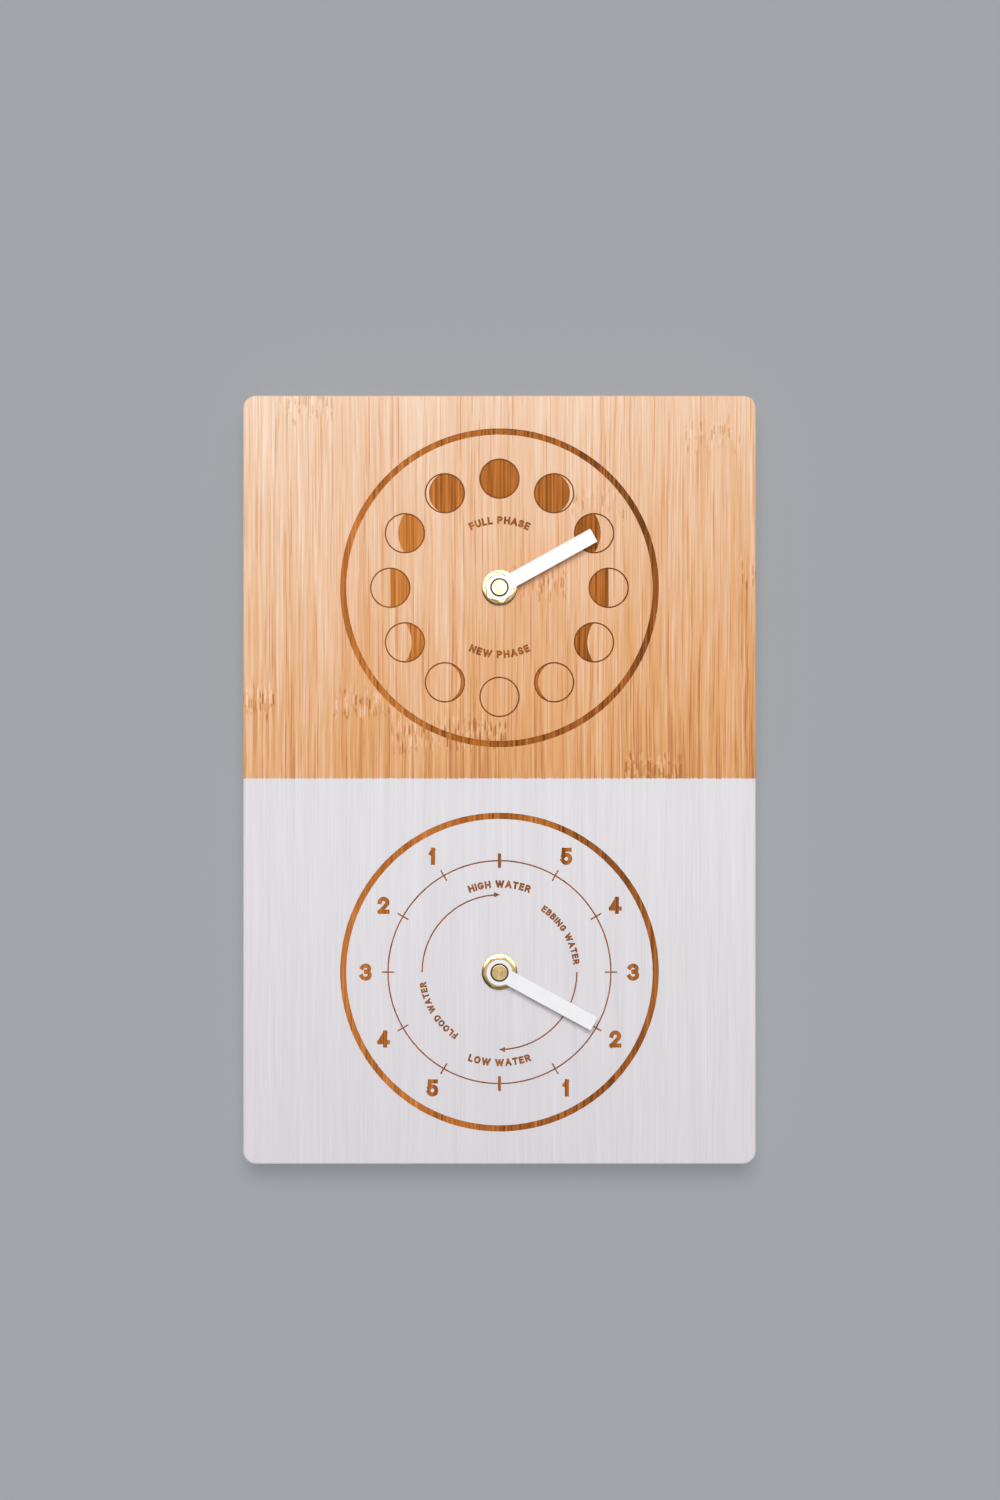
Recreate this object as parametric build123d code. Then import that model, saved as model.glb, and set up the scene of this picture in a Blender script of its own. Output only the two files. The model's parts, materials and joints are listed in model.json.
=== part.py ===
from build123d import *
from math import cos, sin, radians
import os

# Tide clock: a bamboo wall board with two engraved dials, each driven by its own quartz movement.
# Millimetres. The clock is laid out on its back: X to the right, Y up the dials, Z out of the wall,
# with Z = 0 on the wall and X = Y = 0 at the middle of the board. stand() turns it upright at the end.

# Board
BOARD_W = 200.0
BOARD_H = 300.0
BOARD_CORNER_R = 5.0
BOARD_EDGE_R = 0.8
FRONT_SKIN = 3.0
POCKET_CLEAR = 1.0
POCKET_CORNER_R = 5.0
STEM_HOLE_CLEAR = 0.2

# Engraving
ENGRAVE_DEPTH = 0.4
DIAL_RING_R = 61.0
DIAL_RING_W = 2.4
LINE_W = 0.55
MOON_ORBIT_R = 42.6
MOON_R = 7.9
MOON_SHADES = (1.0, 0.79, 0.33, 0.0, -0.33, -0.79, -1.0)
SCALE_R = 43.5
TICK_L = 4.8
MAIN_TICK_L = 5.9
MAIN_TICK_W = 1.2
ARROW_R = 30.2
ARROW_HEAD = 2.1

# Keyhole hanger
HANGER_L = 34.0
HANGER_W = 18.0
HANGER_T = 1.5
HANGER_CLEAR = 0.2
KEYHOLE_R = 4.5
KEYHOLE_SLOT_W = 4.6
KEYHOLE_TRAVEL = 6.6
KEYHOLE_DROP = 3.2
HEAD_ROOM = 0.8
HEAD_POCKET_DEPTH = 7.0
SCREW_SPACING = 26.0
SCREW_R = 1.4
SCREW_HEAD_R = 2.7
SCREW_L = 12.0
SCREW_CLEAR = 0.05

# Front stack: washer, nut, hand
WASHER_R = 7.0
WASHER_T = 0.6
NUT_AF = 11.0
NUT_T = 2.4
NUT_BEVEL = 0.35
STEM_R = 4.0
THREAD_CLEAR = 0.05
THREAD_PROUD = 0.4
GASKET_R = 11.0
GASKET_T = 0.5
HAND_CLEAR = 0.3
BUSH_R = 4.5
BUSH_T = 0.6
SPIGOT_T = 0.4
HAND_L = 42.0
HAND_W = 5.8
HAND_T = 0.8
HAND_RING_R = 5.1
HAND_EYE_R = 3.55
HAND_BEVEL = 0.15
CAP_R = 3.05
CAP_PROUD = 0.35
CAP_PIN_R = 1.0
CAP_PIN_L = 3.0
FIT_CLEAR = 0.03
MOON_HAND_ANGLE = 61.0
TIDE_HAND_ANGLE = 118.5

# Movement case
WALL = 1.2
CASE_CORNER_R = 3.5
COVER_T = 1.2
KNOB_PROUD = 0.9
BACK_CLEAR = 0.2
RUN_CLEAR = 0.05
AXIAL_CLEAR = 0.3
PIECE_CLEAR = 0.5

# Going train
WHEEL_R = 9.0
WHEEL_TEETH = 36
PINION_TEETH = 8
SETTING_TEETH = 18
ADDENDUM = 0.9
DEDENDUM = 1.15
TOOTH_ROOT = 1.2
TOOTH_TIP = 0.42
WHEEL_T = 1.0
WEB_T = 0.6
SETTING_T = 1.2
PINION_MARGIN = 0.3
SECOND_WHEEL_ANGLE = 150.0
FIRST_WHEEL_ANGLE = 80.0
ROTOR_ANGLE = 20.0
KNOB_ANGLE = -15.0
ARBOR_R = 2.6
ARBOR_SEAT_R = 2.2
ARBOR_REAR_R = 1.8
ARBOR_PIVOT_R = 0.8
COLLAR_R = 3.6
COLLAR_T = 0.6
FLANGE_AF = 12.0
FLANGE_T = 1.2
CLUTCH_T = 0.25
CLUTCH_H = 0.4
STAFF_R = 0.8
PIVOT_R = 0.4
BOSS_R = 1.6
BOSS_H = 1.0
POST_R = 1.5
PEG_R = 0.6
BRIDGE_T = 1.0
BRIDGE_ARM_R = 2.6

# Setting knob
KNOB_R = 6.0
KNOB_GRIPS = 20
KNOB_GRIP_DEPTH = 0.5
KNOB_STAFF_R = 1.5
CUP_DEPTH = 1.8
CUP_CLEAR = 0.6
CUP_WALL = 1.0
KNOB_BEARING_L = 4.0

# Stepping motor and circuit
MAGNET_R = 3.0
MAGNET_L = 2.6
ROTOR_GAP = 0.45
LAMINATION_T = 1.0
STATOR_HEAD = 10.8
STATOR_HEAD_H = 8.8
STATOR_BAR_W = 4.0
CORE_W = 3.0
COIL_L = 14.0
COIL_R = 3.0
BOBBIN_R = 1.9
BOBBIN_FLANGE_T = 0.7
CIRCUIT_T = 1.0
CHIP_R = 2.6
CHIP_H = 1.0
CRYSTAL_R = 1.0
CRYSTAL_L = 6.0

# Battery and contacts
BATTERY_R = 7.1
BATTERY_L = 50.5
BATTERY_NUB_R = 2.75
BATTERY_NUB_L = 1.2
BATTERY_CLEAR = 0.45
BATTERY_SEAT_CLEAR = 0.1
CONTACT_T = 0.4
CONTACT_ROOM = 1.55
CONTACT_W = 9.0
CONTACT_GAP = 0.1
LEAD_W = 2.0
CRADLE_T = 1.6
CRADLE_H = 4.0
FINGER_W = 18.0
FINGER_DEPTH = 7.0

# Snap tabs of the cover
TAB_W = 5.0
TAB_T = 1.0
TAB_L = 5.0
TAB_CLEAR = 0.1
NIB_H = 0.9
NIB_D = 0.8
TAB_OFFSET = 16.0

# Gear sizes worked out from the tooth counts
GEAR_M = 2 * WHEEL_R / WHEEL_TEETH
PINION_R = GEAR_M * PINION_TEETH / 2
SETTING_R = GEAR_M * SETTING_TEETH / 2
WHEEL_TIP_R = WHEEL_R + ADDENDUM * GEAR_M
SETTING_TIP_R = SETTING_R + ADDENDUM * GEAR_M
KNOB_SHOULDER_R = SETTING_TIP_R + RUN_CLEAR
MESH = WHEEL_R + PINION_R


def polar(angle, radius, centre=(0.0, 0.0)):
    """The point at a counter-clockwise angle from +X, about a centre."""
    return centre[0] + radius * cos(radians(angle)), centre[1] + radius * sin(radians(angle))


# Axes of the movement, from the hand arbor at (0, 0)
ARBOR_AXIS = (0.0, 0.0)
SECOND_AXIS = polar(SECOND_WHEEL_ANGLE, MESH)
FIRST_AXIS = polar(FIRST_WHEEL_ANGLE, MESH, SECOND_AXIS)
ROTOR_AXIS = polar(ROTOR_ANGLE, MESH, FIRST_AXIS)
KNOB_AXIS = polar(KNOB_ANGLE, 2 * SETTING_R)

# Inside walls of the case: the battery bay below, the train above a partition
IN_X = BATTERY_L / 2 + CONTACT_ROOM
IN_TOP = FIRST_AXIS[1] + WHEEL_TIP_R + 2 * PIECE_CLEAR
PARTITION_TOP = -WHEEL_TIP_R - 2 * PIECE_CLEAR
BAY_TOP = PARTITION_TOP - WALL
IN_BOTTOM = BAY_TOP - 2 * BATTERY_R - 2 * BATTERY_CLEAR
BATTERY_Y = (BAY_TOP + IN_BOTTOM) / 2
CASE_W = 2 * IN_X + 2 * WALL
CASE_H = IN_TOP - IN_BOTTOM + 2 * WALL
CASE_Y = (IN_TOP + IN_BOTTOM) / 2

# Depths behind the front of the case, from the front wall to the cover
D_FLANGE = WALL + FLANGE_T
D_COLLAR = D_FLANGE + AXIAL_CLEAR
D_DRIVE = D_COLLAR + COLLAR_T + RUN_CLEAR
D_CLUTCH = D_DRIVE + WHEEL_T + RUN_CLEAR
D_SETTING = D_CLUTCH + CLUTCH_H
D_SECOND = D_SETTING + SETTING_T + PIECE_CLEAR
D_FIRST = D_SECOND + WHEEL_T + 2 * PIECE_CLEAR
D_BRIDGE = D_FIRST + WHEEL_T + PINION_MARGIN + PIECE_CLEAR
D_REAR = D_BRIDGE + BRIDGE_T
D_CUP = D_REAR + 2 * PIECE_CLEAR
CASE_DEPTH = max(WALL + 2 * BATTERY_R, D_CUP + CUP_WALL + CUP_DEPTH)
D_COVER = CASE_DEPTH - COVER_T
D_CUP_FLOOR = CASE_DEPTH - CUP_DEPTH
D_KNOB_BEARING = D_CUP_FLOOR - KNOB_BEARING_L
D_BATTERY = WALL + BATTERY_SEAT_CLEAR + BATTERY_R
D_STATOR = WALL + BOSS_H + LAMINATION_T + PINION_MARGIN
D_CORE = D_STATOR + LAMINATION_T
D_COIL = D_CORE + LAMINATION_T / 2
D_CIRCUIT = D_COIL + COIL_R + PIECE_CLEAR
D_LEAD = D_CIRCUIT + CIRCUIT_T

# Heights above the wall
BOARD_T = FRONT_SKIN + GASKET_T + CASE_DEPTH + KNOB_PROUD + BACK_CLEAR
POCKET_FLOOR = BOARD_T - FRONT_SKIN
CASE_FRONT = POCKET_FLOOR - GASKET_T
NUT_Z = BOARD_T + WASHER_T
STEM_END = NUT_Z + NUT_T + THREAD_PROUD
BUSH_Z = STEM_END + HAND_CLEAR
HAND_Z = BUSH_Z + BUSH_T
ARBOR_END = HAND_Z + SPIGOT_T

# Places inside the case
COIL_X = ROTOR_AXIS[0] + STATOR_HEAD / 2 + COIL_L / 2 - LAMINATION_T * 3
COIL_Y = WHEEL_TIP_R + PIECE_CLEAR + CORE_W / 2
CORE_END = COIL_L / 2 + CORE_W
STATOR_PEGS = (
    (ROTOR_AXIS[0] + STATOR_HEAD / 2 - POST_R, ROTOR_AXIS[1] + STATOR_HEAD_H / 2 - POST_R),
    (COIL_X + COIL_L / 2 + CORE_W / 2, ROTOR_AXIS[1] - STATOR_BAR_W / 2),
)
BRIDGE_PEGS = (
    (-IN_X + TAB_L, FIRST_AXIS[1] + BRIDGE_ARM_R),
    (-IN_X + TAB_L, SECOND_AXIS[1] - MESH + BOSS_R),
    (ROTOR_AXIS[0] + POST_R, IN_TOP - PIECE_CLEAR),
)
CIRCUIT_LEFT = ROTOR_AXIS[0] + BRIDGE_ARM_R + 2 * POST_R + PIECE_CLEAR
CIRCUIT_RIGHT = IN_X - TAB_T - PIECE_CLEAR
CIRCUIT_TOP = IN_TOP - TAB_T - PIECE_CLEAR
CIRCUIT_BOTTOM = COIL_Y - COIL_R - POST_R
CIRCUIT_PEGS = (
    (CIRCUIT_RIGHT - POST_R, CIRCUIT_TOP - POST_R),
    (CIRCUIT_RIGHT - POST_R, CIRCUIT_BOTTOM + POST_R),
    (CIRCUIT_LEFT + POST_R, CIRCUIT_TOP - POST_R),
)
# Leads of the battery contacts pass beside the knob's cup
LEAD_X = KNOB_AXIS[0] + KNOB_R + CUP_CLEAR + CUP_WALL + PIECE_CLEAR
# Snap tabs: angle of the wall they lean on, and the point on that wall
SNAP_PLACES = (
    (0, IN_X, 0.0),
    (180, -IN_X, 0.0),
    (90, TAB_OFFSET, IN_TOP),
    (90, -TAB_OFFSET, IN_TOP),
)


def depth(d):
    """Height of a depth measured back from the front of the case."""
    return CASE_FRONT - d


def between(outline, z0, z1):
    """A flat outline made solid between two heights."""
    return Pos(0, 0, min(z0, z1)) * extrude(outline, abs(z1 - z0))


def rod(r, z0, z1, at=(0.0, 0.0)):
    """A round rod between two heights."""
    return between(Pos(*at) * Circle(r), z0, z1)


def box(x0, x1, y0, y1, z0, z1):
    """A block between two corners."""
    return between(Pos((x0 + x1) / 2, (y0 + y1) / 2) * Rectangle(x1 - x0, y1 - y0), z0, z1)


def arm(a, b, r):
    """Outline of a round-ended arm from one point to another."""
    axis = Line(a, b)
    turn = axis.tangent_angle_at(0)
    return Pos(*(axis @ 0.5)) * Rot(0, 0, turn) * SlotCenterToCenter(axis.length, 2 * r)


def clock_point(angle, radius):
    """The point at a clockwise angle from the top of a dial."""
    return polar(90 - angle, radius)


# Engraving

def band(radius, width):
    """A ring of a given mean radius and width."""
    return Circle(radius + width / 2) - Circle(radius - width / 2)


def moon(shade):
    """One moon: its outline, and the part of the disc that is filled, seen lit from the left."""
    outline = band(MOON_R - LINE_W / 2, LINE_W)
    if shade == MOON_SHADES[0]:
        return Circle(MOON_R)
    if shade == MOON_SHADES[-1]:
        return outline
    top = (0, MOON_R)
    foot = (0, -MOON_R)
    limb = ThreePointArc(top, (-MOON_R, 0), foot)
    edge = ThreePointArc(foot, (shade * MOON_R, 0), top) if shade else Line(foot, top)
    return outline + make_face([limb, edge])


def moon_dial():
    """Twelve moons from full at the top to new at the bottom and back, inside the dial ring."""
    half = len(MOON_SHADES) - 1
    dial = band(DIAL_RING_R, DIAL_RING_W)
    for i in range(2 * half):
        shape = moon(MOON_SHADES[min(i, 2 * half - i)])
        if i > half:
            shape = mirror(shape, Plane.YZ)
        dial += Pos(*clock_point(i * 180 / half, MOON_ORBIT_R)) * shape
    return dial


def tide_dial():
    """Hour scale with twelve ticks, two of them round-ended, and the arrows of the falling and rising tide."""
    dial = band(DIAL_RING_R, DIAL_RING_W) + band(SCALE_R, LINE_W)
    for i in range(12):
        main = i % 6 == 0
        tick = SlotOverall(MAIN_TICK_L, MAIN_TICK_W, rotation=90) if main else Rectangle(LINE_W, TICK_L)
        dial += Pos(*clock_point(30 * i, SCALE_R)) * Rot(0, 0, -30 * i) * tick
    quarter = Pos(-ARROW_R, ARROW_R) * Rectangle(2 * ARROW_R, 2 * ARROW_R)
    line = band(ARROW_R, LINE_W) & quarter
    head = make_face(
        Polyline(
            (-ARROW_HEAD, ARROW_R + ARROW_HEAD / 2),
            (0, ARROW_R),
            (-ARROW_HEAD, ARROW_R - ARROW_HEAD / 2),
            close=True,
        )
    )
    for turn in (0, 180):
        dial += Rot(0, 0, turn) * (line + head)
    return dial


# Board and hanger

DIAL_Y = BOARD_H / 4
DIALS = (("moon", DIAL_Y, MOON_HAND_ANGLE), ("tide", -DIAL_Y, TIDE_HAND_ANGLE))
POCKET_TOP = DIAL_Y + CASE_Y + CASE_H / 2 + POCKET_CLEAR
HANGER_Y = (POCKET_TOP + BOARD_H / 2) / 2
ENTRY = (0.0, -KEYHOLE_DROP)
SLOT_END = (0.0, KEYHOLE_TRAVEL - KEYHOLE_DROP)


def screw_places():
    """The two screws of the hanger, left and right of its keyhole."""
    return [(side * SCREW_SPACING / 2, HANGER_Y) for side in (-1, 1)]


def board():
    """Bamboo board: eased edges, engraved dials, a pocket behind each and the hanger's seat."""
    body = between(RectangleRounded(BOARD_W, BOARD_H, BOARD_CORNER_R), 0, BOARD_T)
    rims = body.faces().sort_by(Axis.Z)
    body = fillet(rims[0].edges() + rims[-1].edges(), BOARD_EDGE_R)
    pocket = RectangleRounded(CASE_W + 2 * POCKET_CLEAR, CASE_H + 2 * POCKET_CLEAR, POCKET_CORNER_R)
    for name, y, _ in DIALS:
        body -= Pos(0, y + CASE_Y) * between(pocket, 0, POCKET_FLOOR)
        body -= rod(STEM_R + STEM_HOLE_CLEAR, POCKET_FLOOR, BOARD_T, (0, y))
        engraved = moon_dial() if name == "moon" else tide_dial()
        body -= Pos(0, y) * between(engraved, BOARD_T - ENGRAVE_DEPTH, BOARD_T)
    seat = SlotOverall(HANGER_L + 2 * HANGER_CLEAR, HANGER_W + 2 * HANGER_CLEAR)
    body -= Pos(0, HANGER_Y) * between(seat, 0, HANGER_T)
    reach = KEYHOLE_R + HEAD_ROOM
    room = RectangleRounded(2 * reach, KEYHOLE_TRAVEL + 2 * reach, reach / 2)
    middle = HANGER_Y + (ENTRY[1] + SLOT_END[1]) / 2
    body -= Pos(0, middle) * between(room, HANGER_T, HANGER_T + HEAD_POCKET_DEPTH)
    for at in screw_places():
        body -= rod(SCREW_R + SCREW_CLEAR, HANGER_T, SCREW_L + SCREW_CLEAR, at)
    return body


def countersink(r, clear, z):
    """Cone of a countersunk head whose wide end is at height z and whose neck is further in."""
    height = r - SCREW_R
    return Pos(0, 0, z + height / 2) * Cone(r + clear, SCREW_R + clear, height)


def hanger_plate():
    """Steel keyhole plate let in flush with the back of the board."""
    plate = between(SlotOverall(HANGER_L, HANGER_W), 0, HANGER_T)
    slot = arm(ENTRY, SLOT_END, KEYHOLE_SLOT_W / 2)
    plate -= between(Pos(*ENTRY) * Circle(KEYHOLE_R) + slot, 0, HANGER_T)
    plate = Pos(0, HANGER_Y) * plate
    for at in screw_places():
        plate -= rod(SCREW_R + SCREW_CLEAR, 0, HANGER_T, at)
        plate -= Pos(*at) * countersink(SCREW_HEAD_R, SCREW_CLEAR, 0)
    return plate


def hanger_screws():
    """Two countersunk wood screws, each a head, a shank and a point."""
    point = SCREW_R * 2
    profile = make_face(
        Polyline(
            (0, 0),
            (SCREW_HEAD_R, 0),
            (SCREW_R, SCREW_HEAD_R - SCREW_R),
            (SCREW_R, SCREW_L - point),
            (0, SCREW_L),
            close=True,
        )
    )
    screw = revolve(Plane.XZ * profile, Axis.Z)
    return Compound(children=[Pos(*at) * screw for at in screw_places()])


# Gears

def gear(teeth, angle, add=ADDENDUM, ded=DEDENDUM, module=GEAR_M):
    """Toothed outline with one tooth's middle at the given angle. The flanks are straight."""
    quarter = 90 / teeth
    pitch_r = module * teeth / 2
    root = pitch_r - ded * module
    tip = pitch_r + add * module
    points = []
    for i in range(teeth):
        middle = angle + 360 * i / teeth
        points += [
            polar(middle - TOOTH_ROOT * quarter, root),
            polar(middle - TOOTH_TIP * quarter, tip),
            polar(middle + TOOTH_TIP * quarter, tip),
            polar(middle + TOOTH_ROOT * quarter, root),
        ]
    return make_face(Polyline(*points, close=True))


def facing(angle, teeth):
    """Angle of a tooth that leaves a gap turned back along the line of centres at this angle."""
    return angle + 180 + 180 / teeth


def wheel(teeth, angle, d, hub):
    """A train wheel at a depth, with its web thinned on the back between hub and rim."""
    body = between(gear(teeth, angle), depth(d), depth(d + WHEEL_T))
    rim = GEAR_M * teeth / 2 - 3 * GEAR_M
    return body - between(Circle(rim) - Circle(hub), depth(d + WEB_T), depth(d + WHEEL_T))


def staff(d0, d1, at):
    """A turned staff between two depths, with a pivot at each end in the case and in the bridge."""
    body = rod(STAFF_R, depth(d0), depth(d1), at)
    body += rod(PIVOT_R, depth(WALL + PIVOT_R), depth(d0), at)
    return body + rod(PIVOT_R, depth(d1), depth(D_REAR), at)


def drive_wheel():
    """Last wheel of the train, slipping on the hand arbor."""
    seat = ARBOR_SEAT_R + RUN_CLEAR
    body = wheel(WHEEL_TEETH, SECOND_WHEEL_ANGLE, D_DRIVE, COLLAR_R)
    return body - rod(seat, depth(D_DRIVE), depth(D_DRIVE + WHEEL_T))


def compound(axis, wheel_d, wheel_angle, pinion_d, pinion_angle):
    """A wheel and its pinion moulded on one staff."""
    front = pinion_d - PINION_MARGIN
    rear = wheel_d + WHEEL_T + PINION_MARGIN
    leaves = gear(PINION_TEETH, pinion_angle)
    body = between(leaves, depth(front), depth(wheel_d))
    body += wheel(WHEEL_TEETH, wheel_angle, wheel_d, PINION_R)
    return Pos(*axis) * body + staff(front, rear, axis)


def second_wheel():
    """Wheel whose pinion drives the drive wheel."""
    pinion = facing(SECOND_WHEEL_ANGLE, PINION_TEETH)
    return compound(SECOND_AXIS, D_SECOND, FIRST_WHEEL_ANGLE, D_DRIVE, pinion)


def first_wheel():
    """Wheel driven by the rotor, whose pinion drives the second wheel."""
    pinion = facing(FIRST_WHEEL_ANGLE, PINION_TEETH)
    return compound(FIRST_AXIS, D_FIRST, ROTOR_ANGLE, D_SECOND, pinion)


def rotor_pinion():
    """Rotor staff with the pinion that drives the first wheel."""
    front = D_STATOR + LAMINATION_T / 2 - MAGNET_L / 2 - PINION_MARGIN
    d0 = D_FIRST - PINION_MARGIN
    d1 = D_FIRST + WHEEL_T + PINION_MARGIN
    leaves = gear(PINION_TEETH, facing(ROTOR_ANGLE, PINION_TEETH))
    body = Pos(*ROTOR_AXIS) * between(leaves, depth(d0), depth(d1))
    return body + staff(front, d1, ROTOR_AXIS)


def rotor_magnet():
    """Two-pole ring magnet on the rotor staff."""
    middle = D_STATOR + LAMINATION_T / 2
    ring = Circle(MAGNET_R) - Circle(STAFF_R + FIT_CLEAR)
    return Pos(*ROTOR_AXIS) * between(ring, depth(middle - MAGNET_L / 2), depth(middle + MAGNET_L / 2))


# Hand arbor and what turns with it

def hand_arbor():
    """Hollow arbor: a tube through the stem, a collar, the wheel's seat and a rear pivot."""
    body = rod(ARBOR_R, depth(D_COLLAR), ARBOR_END)
    body += rod(COLLAR_R, depth(D_COLLAR), depth(D_COLLAR + COLLAR_T))
    body += rod(ARBOR_SEAT_R, depth(D_COLLAR + COLLAR_T), depth(D_CLUTCH))
    body += rod(ARBOR_REAR_R, depth(D_CLUTCH), depth(D_SETTING + SETTING_T))
    body += rod(ARBOR_PIVOT_R, depth(D_SETTING + SETTING_T), depth(D_REAR))
    return body - rod(CAP_PIN_R + FIT_CLEAR, ARBOR_END - CAP_PIN_L - FIT_CLEAR, ARBOR_END)


def setting_gear():
    """Gear pressed on the arbor, turned by the knob."""
    outline = gear(SETTING_TEETH, KNOB_ANGLE) - Circle(ARBOR_REAR_R + FIT_CLEAR)
    return between(outline, depth(D_SETTING), depth(D_SETTING + SETTING_T))


def clutch_spring():
    """Dished spring washer that presses the drive wheel on the arbor's collar."""
    bore = ARBOR_REAR_R + FIT_CLEAR
    profile = make_face(
        Polyline(
            (bore, depth(D_SETTING)),
            (bore, depth(D_SETTING - CLUTCH_T)),
            (COLLAR_R, depth(D_CLUTCH)),
            (COLLAR_R, depth(D_CLUTCH + CLUTCH_T)),
            close=True,
        )
    )
    return revolve(Plane.XZ * profile, Axis.Z)


def hand_bush():
    """Bush pressed on the arbor: a flange under the hand and a spigot in its eye."""
    spigot = HAND_EYE_R - FIT_CLEAR
    body = rod(BUSH_R, BUSH_Z, HAND_Z) + rod(spigot, HAND_Z, ARBOR_END)
    return body - rod(ARBOR_R + FIT_CLEAR, BUSH_Z, ARBOR_END)


def hand(angle):
    """Flat hand: an eye ring and a straight blade with a square tip, its top edges bevelled."""
    blade = Pos(0, HAND_L / 2) * Rectangle(HAND_W, HAND_L)
    outline = Circle(HAND_RING_R) + blade - Circle(HAND_EYE_R)
    body = between(outline, HAND_Z, HAND_Z + HAND_T)
    top = body.faces().sort_by(Axis.Z)[-1]
    return Rot(0, 0, -angle) * chamfer(top.edges(), HAND_BEVEL)


def hand_cap():
    """Turned brass cap: a bevelled head in the eye of the hand and a pin in the arbor."""
    top = HAND_Z + HAND_T + CAP_PROUD
    head = rod(CAP_R, ARBOR_END, top)
    head = chamfer(head.edges().group_by(Axis.Z)[-1], CAP_PROUD / 2)
    return head + rod(CAP_PIN_R, ARBOR_END - CAP_PIN_L, ARBOR_END)


# Stem and its fastening

def hexagon(af):
    """Hexagon outline from its width across flats."""
    return RegularPolygon(af / 2, 6, major_radius=False)


def stem():
    """Brass stem: a tube through the board with a hexagon flange in the case."""
    body = rod(STEM_R, depth(WALL), STEM_END)
    body = chamfer(body.edges().group_by(Axis.Z)[-1], THREAD_PROUD / 2)
    body += between(hexagon(FLANGE_AF), depth(WALL), depth(D_FLANGE))
    return body - rod(ARBOR_R + RUN_CLEAR, depth(D_FLANGE), STEM_END)


def gasket():
    """Rubber ring between the case and the floor of its pocket."""
    return between(Circle(GASKET_R) - Circle(STEM_R + STEM_HOLE_CLEAR), CASE_FRONT, POCKET_FLOOR)


def washer():
    """Flat brass washer on the face of the board."""
    body = between(Circle(WASHER_R) - Circle(STEM_R + STEM_HOLE_CLEAR), BOARD_T, NUT_Z)
    return chamfer(body.edges().group_by(Axis.Z)[-1], WASHER_T / 4)


def nut(turn):
    """Thin hexagon nut, its outer edges bevelled at both ends."""
    top = NUT_Z + NUT_T
    body = between(Rot(0, 0, turn) * hexagon(NUT_AF), NUT_Z, top)
    ends = body.edges().group_by(Axis.Z)
    body = chamfer(ends[0] + ends[-1], NUT_BEVEL)
    return body - rod(STEM_R + THREAD_CLEAR, NUT_Z, top)


# Case, cover and bridge

def case_outline():
    """Outside of the case."""
    return Pos(0, CASE_Y) * RectangleRounded(CASE_W, CASE_H, CASE_CORNER_R)


def snap_window():
    """Window in a wall for a nib, for the wall at angle 0."""
    deep = D_COVER - TAB_L
    return box(0, WALL, -TAB_W / 2 - TAB_CLEAR, TAB_W / 2 + TAB_CLEAR,
               depth(deep + NIB_H + 2 * TAB_CLEAR), depth(deep))


def snap_tab():
    """Tab with a sloped nib, for the wall at angle 0."""
    deep = D_COVER - TAB_L + TAB_CLEAR
    profile = make_face(
        Polyline(
            (-TAB_CLEAR - TAB_T, depth(D_COVER)),
            (-TAB_CLEAR, depth(D_COVER)),
            (-TAB_CLEAR, depth(deep + NIB_H)),
            (NIB_D, depth(deep + NIB_H)),
            (NIB_D / 2, depth(deep)),
            (-TAB_CLEAR - TAB_T, depth(deep)),
            close=True,
        )
    )
    return Pos(0, TAB_W / 2) * extrude(Plane.XZ * profile, TAB_W)


def boss(axis):
    """A bearing boss standing on the front wall, with a hole for a pivot."""
    ring = Circle(BOSS_R) - Circle(PIVOT_R + RUN_CLEAR)
    return Pos(*axis) * between(ring, depth(WALL), depth(WALL + BOSS_H))


def peg_post(at, d):
    """A post up to a seat at some depth, with a peg that holds a piece there."""
    return rod(POST_R, depth(WALL), depth(d), at) + rod(PEG_R, depth(d), depth(d + CIRCUIT_T), at)


def case():
    """Front half of the movement: a tray with a train bay, a battery bay, bosses and posts."""
    body = between(case_outline(), depth(0), depth(CASE_DEPTH))
    body -= box(-IN_X, IN_X, PARTITION_TOP, IN_TOP, depth(WALL), depth(CASE_DEPTH))
    body -= box(-IN_X, IN_X, IN_BOTTOM, BAY_TOP, depth(WALL), depth(CASE_DEPTH))
    lid = case_outline() & Pos(0, BAY_TOP + CASE_H / 2) * Rectangle(CASE_W, CASE_H)
    body -= between(lid, depth(D_COVER), depth(CASE_DEPTH))
    body += between(Circle(FLANGE_AF / 3**0.5 + WALL), depth(WALL), depth(D_FLANGE))
    body -= between(hexagon(FLANGE_AF + 2 * RUN_CLEAR), depth(WALL), depth(D_FLANGE))
    body -= rod(STEM_R + THREAD_CLEAR, depth(0), depth(WALL))
    for axis in (SECOND_AXIS, FIRST_AXIS, ROTOR_AXIS):
        body += boss(axis)
    for at in STATOR_PEGS:
        body += peg_post(at, D_STATOR)
    for at in BRIDGE_PEGS:
        body += peg_post(at, D_BRIDGE)
    for at in CIRCUIT_PEGS:
        body += peg_post(at, D_CIRCUIT)
    for side in (-1, 1):
        middle = side * BATTERY_L / 4
        rib = box(middle - CRADLE_T / 2, middle + CRADLE_T / 2, IN_BOTTOM, BAY_TOP,
                  depth(WALL), depth(WALL + CRADLE_H))
        body += rib - battery_form(BATTERY_R + BATTERY_SEAT_CLEAR)
    body -= box(-FINGER_W / 2, FINGER_W / 2, IN_BOTTOM - WALL, IN_BOTTOM,
                depth(CASE_DEPTH - FINGER_DEPTH), depth(CASE_DEPTH))
    for angle, x, y in SNAP_PLACES:
        body -= Pos(x, y) * Rot(0, 0, angle) * snap_window()
    slit = CONTACT_T + 2 * TAB_CLEAR
    for side in (-1, 1):
        x0, x1 = sorted((side * IN_X, side * (IN_X - slit)))
        body -= box(x0, x1, BAY_TOP, PARTITION_TOP,
                    depth(D_LEAD + LEAD_W + TAB_CLEAR), depth(D_LEAD - TAB_CLEAR))
    return body


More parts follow.
